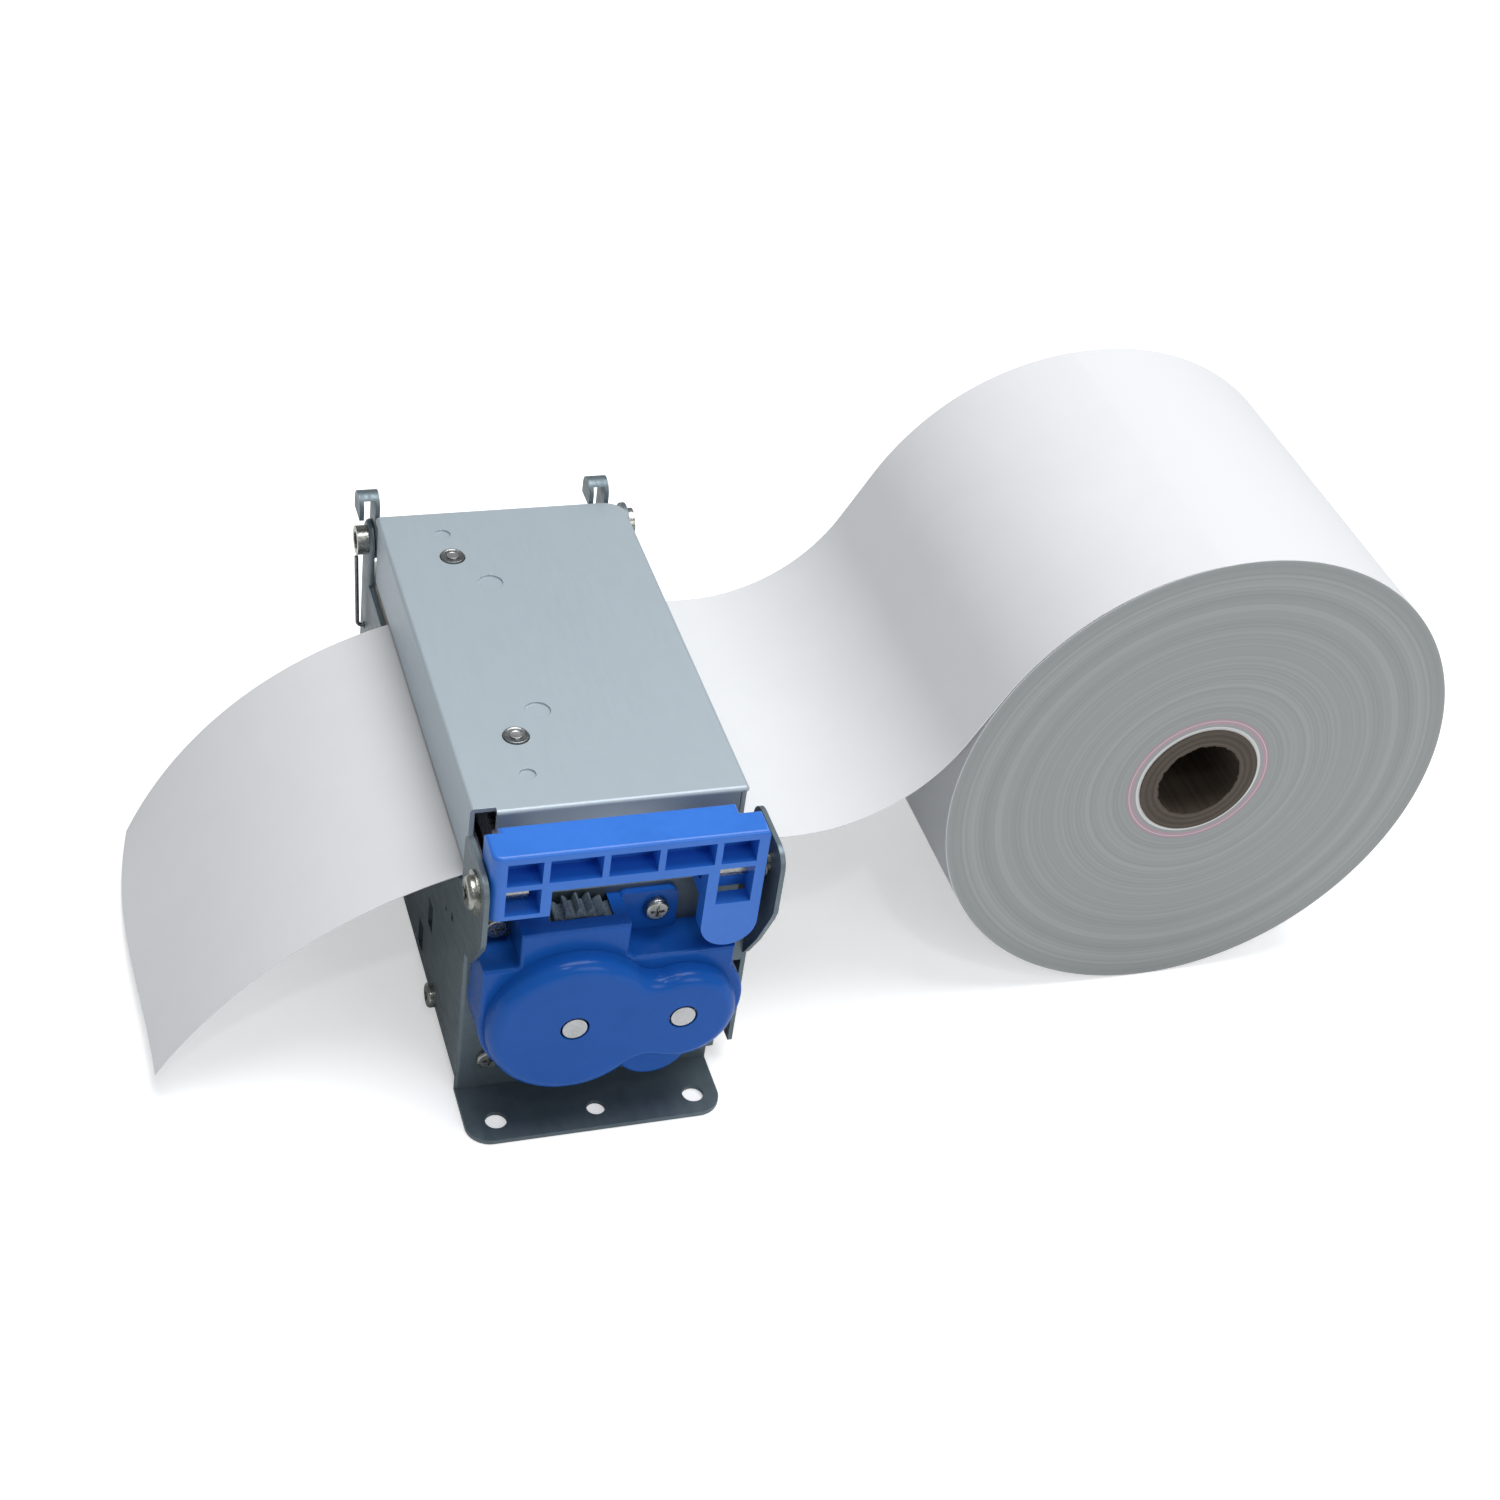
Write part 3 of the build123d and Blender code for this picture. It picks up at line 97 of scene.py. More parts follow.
# %% Floor and light
FLOOR_SIZE = 6.0
FLOOR_DROP = 0.0002         # keeps the floor just clear of the feet
FLOOR_GLOW = 0.45
WORLD_STRENGTH = 0.3
LAMPS = {                   # place, aim, width, watts
    "overhead_lamp": ((0.25, 0.05, 1.3), (0.05, 0.0, 0.03), 1.0, 15.5),
    "front_lamp": ((0.55, -1.2, 0.75), (0.05, 0.0, 0.05), 0.7, 3.4),
    "spark_lamp": ((-0.05, -0.75, 1.15), (0.0, -0.06, 0.03), 0.055, 1.1),
}


def area_light(name, place, aim, size, power):
    lamp = bpy.data.lights.new(name, "AREA")
    lamp.shape = "DISK"
    lamp.size = size
    lamp.energy = power
    holder = bpy.data.objects.new(name, lamp)
    holder.location = place
    direction = Vector(aim) - Vector(place)
    holder.rotation_euler = direction.to_track_quat("-Z", "Y").to_euler()
    scene.collection.objects.link(holder)


for lamp_name, (lamp_place, lamp_aim, lamp_width, lamp_power) in LAMPS.items():
    area_light(lamp_name, lamp_place, lamp_aim, lamp_width, lamp_power)

world = bpy.data.worlds.new("studio")
scene.world = world
world.use_nodes = True
sky = world.node_tree.nodes["Background"]
sky.inputs["Color"].default_value = (0.95, 0.97, 1.0, 1)
sky.inputs["Strength"].default_value = WORLD_STRENGTH
scene.view_settings.view_transform = "Standard"

bpy.ops.object.select_all(action="DESELECT")
bpy.ops.mesh.primitive_plane_add(size=FLOOR_SIZE, location=(0, 0, -FLOOR_DROP))
floor = bpy.context.object
floor.name = "floor"

floor_paint = bpy.data.materials.new("floor_paint")
floor_paint.use_nodes = True
floor_tree = floor_paint.node_tree
floor_shader = floor_tree.nodes["Principled BSDF"]
floor_shader.inputs["Base Color"].default_value = (0.93, 0.93, 0.93, 1)
floor_shader.inputs["Roughness"].default_value = 0.9
floor_shader.inputs["Emission Color"].default_value = (1, 1, 1, 1)
light_path = floor_tree.nodes.new("ShaderNodeLightPath")
floor_glow = floor_tree.nodes.new("ShaderNodeMath")
floor_glow.operation = "MULTIPLY"
floor_glow.inputs[1].default_value = FLOOR_GLOW
floor_tree.links.new(light_path.outputs["Is Camera Ray"], floor_glow.inputs[0])
floor_tree.links.new(floor_glow.outputs[0], floor_shader.inputs["Emission Strength"])
floor.data.materials.append(floor_paint)
print("floor and lamps ready")

# %% [markdown]
# Two effects are shared by many finishes, so each is a node group that is built once. The first is
# a drift of tone over a surface: soft clouds of slightly lighter and darker colour, which stop a
# moulded or plated part from looking like flat paint.

# %% Shared effect: tone drift
FINE_PER_BROAD = 9.0        # how much finer the second noise is
FINE_SHARE = 0.35
DRIFT_RANGE = (0.36, 0.64)


def new_group(name, inputs, outputs):
    group = bpy.data.node_groups.new(name, "ShaderNodeTree")
    for label, kind, value in inputs:
        socket = group.interface.new_socket(label, in_out="INPUT", socket_type=kind)
        if value is not None:
            socket.default_value = value
    for label, kind in outputs:
        group.interface.new_socket(label, in_out="OUTPUT", socket_type=kind)
    start = group.nodes.new("NodeGroupInput")
    end = group.nodes.new("NodeGroupOutput")
    return group, start, end


def add_node(tree, kind, **values):
    node = tree.nodes.new(kind)
    for key, value in values.items():
        setattr(node, key, value)
    return node


def math_node(tree, operation, first, second):
    node = add_node(tree, "ShaderNodeMath", operation=operation)
    for socket, value in zip(node.inputs, (first, second)):
        if isinstance(value, (int, float)):
            socket.default_value = value
        else:
            tree.links.new(value, socket)
    return node.outputs[0]


def build_tone_drift():
    group, start, end = new_group(
        "tone_drift",
        [("Vector", "NodeSocketVector", None), ("Dark", "NodeSocketColor", (0.4, 0.4, 0.4, 1)),
         ("Light", "NodeSocketColor", (0.5, 0.5, 0.5, 1)), ("Size", "NodeSocketFloat", 60.0)],
        [("Color", "NodeSocketColor"), ("Mask", "NodeSocketFloat")])
    broad = add_node(group, "ShaderNodeTexNoise")
    broad.inputs["Detail"].default_value = 4
    fine = add_node(group, "ShaderNodeTexNoise")
    fine.inputs["Detail"].default_value = 6
    group.links.new(start.outputs["Vector"], broad.inputs["Vector"])
    group.links.new(start.outputs["Vector"], fine.inputs["Vector"])
    group.links.new(start.outputs["Size"], broad.inputs["Scale"])
    fine_scale = math_node(group, "MULTIPLY", start.outputs["Size"], FINE_PER_BROAD)
    group.links.new(fine_scale, fine.inputs["Scale"])
    fine_part = math_node(group, "MULTIPLY", fine.outputs["Fac"], FINE_SHARE)
    broad_part = math_node(group, "MULTIPLY", broad.outputs["Fac"], 1 - FINE_SHARE)
    total = math_node(group, "ADD", broad_part, fine_part)
    ramp = add_node(group, "ShaderNodeMapRange")
    ramp.inputs["From Min"].default_value, ramp.inputs["From Max"].default_value = DRIFT_RANGE
    group.links.new(total, ramp.inputs["Value"])
    mix = add_node(group, "ShaderNodeMix", data_type="RGBA")
    group.links.new(ramp.outputs["Result"], mix.inputs["Factor"])
    group.links.new(start.outputs["Dark"], mix.inputs["A"])
    group.links.new(start.outputs["Light"], mix.inputs["B"])
    group.links.new(mix.outputs["Result"], end.inputs["Color"])
    group.links.new(ramp.outputs["Result"], end.inputs["Mask"])
    return group


TONE_DRIFT = build_tone_drift()
print("group", TONE_DRIFT.name)

# %% [markdown]
# The second shared effect is fine grain. Stretched one way it is the drawn grain of rolled steel or
# ground rod; the same in all directions it is the spark-eroded texture of a mould. It puts out a
# height for a bump and a mask for the roughness.

# %% Shared effect: surface grain
GRAIN_RANGE = (0.35, 0.65)


def build_grain():
    group, start, end = new_group(
        "surface_grain",
        [("Vector", "NodeSocketVector", None), ("Stretch", "NodeSocketVector", (1.0, 1.0, 1.0)),
         ("Fineness", "NodeSocketFloat", 900.0)],
        [("Height", "NodeSocketFloat"), ("Mask", "NodeSocketFloat")])
    scaled = add_node(group, "ShaderNodeVectorMath", operation="MULTIPLY")
    group.links.new(start.outputs["Vector"], scaled.inputs[0])
    group.links.new(start.outputs["Stretch"], scaled.inputs[1])
    noise = add_node(group, "ShaderNodeTexNoise")
    noise.inputs["Detail"].default_value = 3
    group.links.new(scaled.outputs["Vector"], noise.inputs["Vector"])
    group.links.new(start.outputs["Fineness"], noise.inputs["Scale"])
    group.links.new(noise.outputs["Fac"], end.inputs["Height"])
    spread = add_node(group, "ShaderNodeMapRange")
    spread.inputs["From Min"].default_value, spread.inputs["From Max"].default_value = GRAIN_RANGE
    group.links.new(noise.outputs["Fac"], spread.inputs["Value"])
    group.links.new(spread.outputs["Result"], end.inputs["Mask"])
    return group


GRAIN = build_grain()
print("group", GRAIN.name)

# %% [markdown]
# Every finish starts the same way: tone drift feeds the colour, grain feeds a bump and a small
# change of roughness, and the shader's own sockets hold what is the same all over. One function
# builds that, and each finish below calls it with its own values.

# %% Finish builder
RELIEF_DEPTH = 0.2 * MM
COAT_ROUGHNESS = 0.06


def new_material(name):
    material = bpy.data.materials.new(name)
    material.use_nodes = True
    tree = material.node_tree
    place = add_node(tree, "ShaderNodeTexCoord").outputs["Object"]
    return material, tree, tree.nodes["Principled BSDF"], place


def add_relief(tree, shader, height, strength):
    relief = add_node(tree, "ShaderNodeBump")
    relief.inputs["Strength"].default_value = strength
    relief.inputs["Distance"].default_value = RELIEF_DEPTH
    tree.links.new(height, relief.inputs["Height"])
    tree.links.new(relief.outputs["Normal"], shader.inputs["Normal"])


def finish(name, dark, light, roughness, metallic=0.0, size=60.0, stretch=(1, 1, 1),
           fineness=900.0, bump=0.05, spread=0.08, coat=0.0, shine=0.5):
    material, tree, shader, place = new_material(name)
    drift = add_node(tree, "ShaderNodeGroup", node_tree=TONE_DRIFT)
    tree.links.new(place, drift.inputs["Vector"])
    drift.inputs["Dark"].default_value = (*dark, 1)
    drift.inputs["Light"].default_value = (*light, 1)
    drift.inputs["Size"].default_value = size
    tree.links.new(drift.outputs["Color"], shader.inputs["Base Color"])
    grain = add_node(tree, "ShaderNodeGroup", node_tree=GRAIN)
    tree.links.new(place, grain.inputs["Vector"])
    grain.inputs["Stretch"].default_value = stretch
    grain.inputs["Fineness"].default_value = fineness
    level = add_node(tree, "ShaderNodeMapRange")
    level.inputs["To Min"].default_value = roughness - spread
    level.inputs["To Max"].default_value = roughness + spread
    tree.links.new(grain.outputs["Mask"], level.inputs["Value"])
    tree.links.new(level.outputs["Result"], shader.inputs["Roughness"])
    add_relief(tree, shader, grain.outputs["Height"], bump)
    shader.inputs["Metallic"].default_value = metallic
    shader.inputs["Specular IOR Level"].default_value = shine
    shader.inputs["Coat Weight"].default_value = coat
    shader.inputs["Coat Roughness"].default_value = COAT_ROUGHNESS
    return material


FINISHES = {
    "zinc_steel": finish("zinc_steel", (0.112, 0.148, 0.165), (0.148, 0.19, 0.215), 0.44, metallic=0.52,
                         size=40, stretch=(1, 0.08, 1), fineness=1500, bump=0.06),
    "cover_steel": finish("cover_steel", (0.40, 0.465, 0.51), (0.412, 0.478, 0.523), 0.5, metallic=0.4,
                          size=26, stretch=(1, 0.06, 1), fineness=1800, bump=0.012, spread=0.02),
    "screw_steel": finish("screw_steel", (0.30, 0.31, 0.29), (0.46, 0.46, 0.42), 0.3, metallic=1.0,
                          size=260, fineness=2200, bump=0.05),
    "bright_steel": finish("bright_steel", (0.42, 0.43, 0.43), (0.54, 0.55, 0.55), 0.3, metallic=0.9,
                           size=90, stretch=(1, 0.05, 1), fineness=1600, bump=0.06),
    "blade_steel": finish("blade_steel", (0.36, 0.38, 0.40), (0.46, 0.48, 0.50), 0.3, metallic=1.0,
                          size=60, stretch=(1, 1, 0.1), fineness=1500, bump=0.08),
    "spring_wire": finish("spring_wire", (0.20, 0.21, 0.21), (0.32, 0.33, 0.33), 0.32, metallic=1.0,
                          size=300, fineness=2600, bump=0.04),
    "motor_can": finish("motor_can", (0.33, 0.34, 0.35), (0.42, 0.43, 0.44), 0.34, metallic=0.9,
                        size=70, stretch=(1, 0.1, 1), fineness=1400, bump=0.06),
    "pale_plastic": finish("pale_plastic", (0.60, 0.60, 0.56), (0.68, 0.68, 0.64), 0.5, size=80,
                           fineness=2500, bump=0.05),
    "dark_plastic": finish("dark_plastic", (0.012, 0.012, 0.013), (0.022, 0.022, 0.024), 0.55, size=80,
                           fineness=2200, bump=0.08),
    "gear_smoke": finish("gear_smoke", (0.105, 0.140, 0.170), (0.175, 0.220, 0.255), 0.26, size=160,
                         fineness=1800, bump=0.04, coat=0.3),
    "cover_blue": finish("cover_blue", (0.008, 0.086, 0.375), (0.010, 0.096, 0.41), 0.2, size=30,
                         fineness=1400, bump=0.008, spread=0.02, shine=0.17),
    "lever_blue": finish("lever_blue", (0.018, 0.15, 0.60), (0.024, 0.17, 0.66), 0.36, size=55,
                         fineness=2400, bump=0.05, spread=0.05),
    "brass": finish("brass", (0.52, 0.36, 0.12), (0.66, 0.48, 0.2), 0.28, metallic=1.0, size=140,
                    fineness=1500, bump=0.05),
    "platen_rubber": finish("platen_rubber", (0.012, 0.012, 0.012), (0.022, 0.022, 0.022), 0.62, size=70,
                            stretch=(1, 0.3, 1), fineness=2600, bump=0.15),
    "head_aluminium": finish("head_aluminium", (0.46, 0.47, 0.49), (0.56, 0.57, 0.59), 0.34, metallic=1.0,
                             size=60, stretch=(1, 0.06, 1), fineness=1300, bump=0.08),
    "head_ceramic": finish("head_ceramic", (0.70, 0.68, 0.62), (0.78, 0.76, 0.71), 0.2, size=60,
                           fineness=2200, bump=0.02, coat=0.5),
    "paper": finish("paper", (0.685, 0.695, 0.71), (0.71, 0.72, 0.735), 0.6, size=12, fineness=3200,
                    bump=0.04, spread=0.05),
}
print("finishes:", len(FINISHES))

# %% [markdown]
# The two ends of a wound roll show thousands of paper edges, so the face is a field of very fine
# rings, some a little proud and darker. The rings come from the distance to the roll's own axis:
# two combs of noise, one coarse and one fine, read along that distance. Next to the core the first
# turns are glued and tinted, which shows as a pale ring and then faint pink ones. The outermost
# turn is the clean white outside of the paper. The grey ground of the ring tone on the faces is
# painted shade: the faces are the same paper, painted darker because the ends stand in shade.

# %% Roll paper
roll_low, roll_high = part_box("paper_roll")
ROLL_CENTRE = (roll_low + roll_high) / 2
ROLL_RADIUS = (roll_high.x - roll_low.x) / 2
core_low, core_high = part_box("roll_core")
CORE_RADIUS = (core_high.x - core_low.x) / 2
RING_FINENESS = 1400
COARSE_SHARE = 0.22         # fineness of the coarse comb, as a share of the fine one
RING_RANGE = (0.34, 0.66)
RING_RELIEF = 0.35
CUT_PAPER_ROUGHNESS = 0.68


def build_roll_rings():
    group, start, end = new_group(
        "roll_rings",
        [("Vector", "NodeSocketVector", None), ("Fineness", "NodeSocketFloat", 500.0)],
        [("Rings", "NodeSocketFloat"), ("Distance", "NodeSocketFloat")])
    shift = add_node(group, "ShaderNodeVectorMath", operation="SUBTRACT")
    shift.inputs[1].default_value = ROLL_CENTRE
    group.links.new(start.outputs["Vector"], shift.inputs[0])
    flat = add_node(group, "ShaderNodeVectorMath", operation="MULTIPLY")
    flat.inputs[1].default_value = (1, 0, 1)
    group.links.new(shift.outputs["Vector"], flat.inputs[0])
    length = add_node(group, "ShaderNodeVectorMath", operation="LENGTH")
    group.links.new(flat.outputs["Vector"], length.inputs[0])
    rings = []
    for share in (COARSE_SHARE, 1.0):
        comb = add_node(group, "ShaderNodeTexNoise", noise_dimensions="1D")
        comb.inputs["Detail"].default_value = 5
        scale = math_node(group, "MULTIPLY", start.outputs["Fineness"], share)
        group.links.new(scale, comb.inputs["Scale"])
        group.links.new(length.outputs["Value"], comb.inputs["W"])
        rings.append(comb.outputs["Fac"])
    both = math_node(group, "MULTIPLY", math_node(group, "ADD", rings[0], rings[1]), 0.5)
    group.links.new(both, end.inputs["Rings"])
    group.links.new(length.outputs["Value"], end.inputs["Distance"])
    return group


def roll_finish(name, dark, light, bands):
    material, tree, shader, place = new_material(name)
    rings = add_node(tree, "ShaderNodeGroup", node_tree=ROLL_RINGS)
    rings.inputs["Fineness"].default_value = RING_FINENESS
    tree.links.new(place, rings.inputs["Vector"])
    tone = add_node(tree, "ShaderNodeMapRange")
    tone.inputs["From Min"].default_value, tone.inputs["From Max"].default_value = RING_RANGE
    tree.links.new(rings.outputs["Rings"], tone.inputs["Value"])
    mix = add_node(tree, "ShaderNodeMix", data_type="RGBA")
    mix.inputs["A"].default_value = (*dark, 1)
    mix.inputs["B"].default_value = (*light, 1)
    tree.links.new(tone.outputs["Result"], mix.inputs["Factor"])
    colour = mix.outputs["Result"]
    for inner, outer, tint in bands:
        above = math_node(tree, "GREATER_THAN", rings.outputs["Distance"], inner)
        below = math_node(tree, "LESS_THAN", rings.outputs["Distance"], outer)
        band = add_node(tree, "ShaderNodeMix", data_type="RGBA")
        band.inputs["B"].default_value = (*tint, 1)
        tree.links.new(math_node(tree, "MULTIPLY", above, below), band.inputs["Factor"])
        tree.links.new(colour, band.inputs["A"])
        colour = band.outputs["Result"]
    tree.links.new(colour, shader.inputs["Base Color"])
    add_relief(tree, shader, rings.outputs["Rings"], RING_RELIEF)
    shader.inputs["Roughness"].default_value = CUT_PAPER_ROUGHNESS
    return material


ROLL_RINGS = build_roll_rings()
GLUE_RING = (CORE_RADIUS - 1.0 * MM, CORE_RADIUS + 0.8 * MM, (0.70, 0.71, 0.71))
PINK_RINGS = [
    (CORE_RADIUS + 1.5 * MM, CORE_RADIUS + 2.2 * MM, (0.44, 0.31, 0.36)),
    (CORE_RADIUS + 2.2 * MM, CORE_RADIUS + 2.4 * MM, (0.60, 0.52, 0.55)),
    (CORE_RADIUS + 2.4 * MM, CORE_RADIUS + 2.8 * MM, (0.42, 0.27, 0.33)),
]
OUTER_TURN = (ROLL_RADIUS - 0.12 * MM, ROLL_RADIUS * 2, (0.70, 0.71, 0.725))
# the grey face tones below are painted shade on the roll's paper ends; the outer turn keeps the paper's
# own white
FINISHES["roll_paper"] = roll_finish("roll_paper", (0.285, 0.305, 0.305), (0.36, 0.38, 0.38),
                                     (GLUE_RING, *PINK_RINGS, OUTER_TURN))
FINISHES["core_card"] = roll_finish("core_card", (0.045, 0.033, 0.024), (0.095, 0.072, 0.052), ())
print("roll radius", round(ROLL_RADIUS, 4), "core", round(CORE_RADIUS, 4))

# %% [markdown]
# Each CAD part already has the right shape, but its corners are perfectly sharp, and nothing real
# is. A sharp corner catches no light. So each part with corners worth seeing is copied, its loose
# triangles are merged, flat areas are dissolved into clean faces, and a narrow bevel rounds the
# corners: tiny on sheared steel, wider on moulded plastic. Weighted normals then keep each large
# face flat in the light, so that only the narrow rounded edges carry a gradient.

# %% Rounded copies of the CAD parts
SLOT_OF = {part["node"]: part["material_slot"] for part in frame["record"]["subparts"]}
BODY_OF = {node: body for body, members in frame["record"]["behaviour"]["bodies"].items()
           for node in members}
MERGE_DISTANCE = 0.002 * MM
FLAT_ANGLE = math.radians(1)
CORNER_ANGLE = math.radians(38)
SMOOTH_ANGLE = math.radians(32)
BEVEL_STEPS = 2


def dress(piece, slot_name):
    piece.data.materials.clear()
    piece.data.materials.append(FINISHES[slot_name])


def only(piece):
    bpy.ops.object.select_all(action="DESELECT")
    piece.select_set(True)
    bpy.context.view_layer.objects.active = piece


def apply_modifiers(piece):
    only(piece)
    for modifier in list(piece.modifiers):
        bpy.ops.object.modifier_apply(modifier=modifier.name)


def merged_copy(node, name, flatten=False):
    source = nodes[node]
    piece = source.copy()
    piece.data = source.data.copy()
    piece.parent = None
    for key in list(piece.keys()):
        del piece[key]
    piece.name = name
    scene.collection.objects.link(piece)
    piece.matrix_world = Matrix.Identity(4)
    only(piece)
    bpy.ops.object.mode_set(mode="EDIT")
    bpy.ops.mesh.select_all(action="SELECT")
    bpy.ops.mesh.remove_doubles(threshold=MERGE_DISTANCE)
    if flatten:
        bpy.ops.mesh.dissolve_limited(angle_limit=FLAT_ANGLE)
    bpy.ops.object.mode_set(mode="OBJECT")
    return piece


def rounded_copy(node, radius):
    piece = merged_copy(node, node + "_finished", flatten=True)
    bevel = piece.modifiers.new("edges", "BEVEL")
    bevel.width = radius * MM
    bevel.segments = BEVEL_STEPS
    bevel.limit_method = "ANGLE"
    bevel.angle_limit = CORNER_ANGLE
    bevel.use_clamp_overlap = True
    apply_modifiers(piece)
    bpy.ops.object.shade_smooth_by_angle(angle=SMOOTH_ANGLE)
    flat = piece.modifiers.new("flat_faces", "WEIGHTED_NORMAL")
    flat.keep_sharp = True
    apply_modifiers(piece)
    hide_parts(node)
    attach(piece, BODY_OF[node])
    dress(piece, SLOT_OF[node])


EDGE_RADIUS = {             # millimetres
    "main_frame": 0.12, "right_side_plate": 0.12, "cutter_cover": 0.14, "hinge_bracket": 0.12,
    "gear_cover": 0.22, "lever": 0.4, "paper_bed": 0.25, "exit_guide": 0.2, "blade_bar": 0.15,
    "platen_gear": 0.08, "gear_bracket": 0.1, "feed_motor": 0.15, "cutter_motor": 0.2,
    "head_block": 0.12, "reduction_axle": 0.2, "idler_axle": 0.2,
}
for node, radius in EDGE_RADIUS.items():
    rounded_copy(node, radius)
print("rounded:", len(EDGE_RADIUS), "parts")

# %% [markdown]
# A wound roll's face isn't one flat disc. Turns slip sideways by a hair as the roll is wound and
# handled, so the face is a set of broad rings, each a little proud of the next or sunk below it. A
# cylinder gives the start. Its end faces are inset again and again, each time with a small depth,
# until the inset reaches the bore, and the two last faces are bridged through the middle.

# %% Roll and core by insets
RING_COUNT = 18
RING_DEPTH = 0.11 * MM
ROLL_CORNERS = 320
CORE_CORNERS = 96
CORE_BORE = 9.2 * MM
CORE_RAGGED = 0.28 * MM     # how far the torn card of the core strays
END_FACING = 0.9            # a face whose normal points this far along the axis is an end


def select_ends(piece):
    bpy.ops.object.mode_set(mode="EDIT")
    bpy.ops.mesh.select_mode(type="FACE")
    bpy.ops.mesh.select_all(action="DESELECT")
    mesh = bmesh.from_edit_mesh(piece.data)
    for face in mesh.faces:
        face.select = abs(face.normal.y) > END_FACING
    bmesh.update_edit_mesh(piece.data)


def wound_tube(name, low, high, bore, corners, depths):
    centre = (low + high) / 2
    radius = (high.x - low.x) / 2
    bpy.ops.object.select_all(action="DESELECT")
    bpy.ops.mesh.primitive_cylinder_add(vertices=corners, radius=radius, depth=high.y - low.y,
                                        location=centre, rotation=(math.pi / 2, 0, 0))
    piece = bpy.context.object
    piece.name = name
    bpy.ops.object.transform_apply(location=True, rotation=True, scale=True)
    select_ends(piece)
    for depth in depths:
        bpy.ops.mesh.inset(thickness=(radius - bore) / len(depths), depth=depth)
    bpy.ops.mesh.bridge_edge_loops()
    bpy.ops.object.mode_set(mode="OBJECT")
    bpy.ops.object.shade_smooth_by_angle(angle=math.radians(20))
    return piece


ring_depths = [-0.2 * RING_DEPTH]
for ring in range(RING_COUNT - 1):
    ring_depths.append(random.uniform(-0.3, 0.3) * RING_DEPTH)
proud = max(0.0, sum(ring_depths)) / len(ring_depths)
ring_depths = [depth - proud - 0.01 * MM for depth in ring_depths]
roll = wound_tube("roll_wound", roll_low, roll_high, CORE_RADIUS, ROLL_CORNERS, ring_depths)
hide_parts("paper_roll")
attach(roll, "roll")
dress(roll, "roll_paper")

core = wound_tube("core_wound", core_low, core_high, CORE_BORE, CORE_CORNERS, [0.0, 0.0, 0.0])
for vertex in core.data.vertices:
    offset = Vector((vertex.co.x - ROLL_CENTRE.x, 0, vertex.co.z - ROLL_CENTRE.z))
    if offset.length < CORE_RADIUS * 0.99:
        push = random.uniform(-1, 0.4) * CORE_RAGGED
        vertex.co += offset.normalized() * push
        inward = random.uniform(0, 0.5) * CORE_RAGGED
        vertex.co.y -= math.copysign(inward, vertex.co.y - ROLL_CENTRE.y)
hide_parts("roll_core")
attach(core, "roll")
dress(core, "core_card")
print("roll faces:", len(roll.data.polygons), "core faces:", len(core.data.polygons))

# %% [markdown]
# The web is the roll's own outer turn, so its end shouldn't show as a step on top of the roll. A
# copy of the CAD web keeps its path, and over the last stretch round the roll it thins and sinks
# until it meets the roll's surface.

# %% Paper web
TAPER_START = math.radians(128)        # directions from the roll's centre
TAPER_END = math.radians(98)
SKIN = 0.03 * MM
SUNK = 0.92                 # share of the web's thickness that is gone at its end
PAPER_SMOOTH = math.radians(40)

web = merged_copy("paper_web", "paper_web_finished")
for vertex in web.data.vertices:
    reach = Vector((vertex.co.x - ROLL_CENTRE.x, 0, vertex.co.z - ROLL_CENTRE.z))
    direction = math.atan2(reach.z, reach.x)
    if 0 < direction < TAPER_START:
        share = min(1.0, (TAPER_START - direction) / (TAPER_START - TAPER_END))
        radius = ROLL_RADIUS + SKIN * 0.5 + (reach.length - ROLL_RADIUS) * (1 - SUNK * share)
        sideways = Vector((0, vertex.co.y - ROLL_CENTRE.y, 0))
        vertex.co = ROLL_CENTRE + reach.normalized() * radius + sideways
only(web)
bpy.ops.object.shade_smooth_by_angle(angle=PAPER_SMOOTH)
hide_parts("paper_web")
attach(web, "frame")
dress(web, "paper")
print("web points:", len(web.data.vertices))

# %% [markdown]
# The slip has been cut from a roll, so it keeps a curl. It leaves flat, bends down over the exit
# guide and then follows one wide curve. It isn't a perfect cylinder: its far corner hangs lower and
# its end edge waves. A grid is laid along the curl, twisted more and more towards the free end, and
# given the paper's thickness.

# %% Printed slip
slip_low, slip_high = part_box("paper_slip")
web_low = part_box("paper_web")[0]
SLIP_THICK = 0.2 * MM
LEAD_RADIUS = 15.0 * MM
LEAD_TURN = math.radians(15.4)
CURL_RADIUS = 91.6 * MM
CURL_TURN = math.radians(47)
TWIST_NEAR = (-2.2 * MM, 1.5 * MM)      # how far the near corner ends from the plain curl
TWIST_FAR = (0.9 * MM, -5.0 * MM)       # and the far one
TWIST_GROWTH = 2.4
END_WAVE = 2.6 * MM
WAVE_GROWTH = 6
WAVE_LEAN = 1.5                         # sets the wave's crest nearer the far corner
SLIP_GRID = (90, 36)


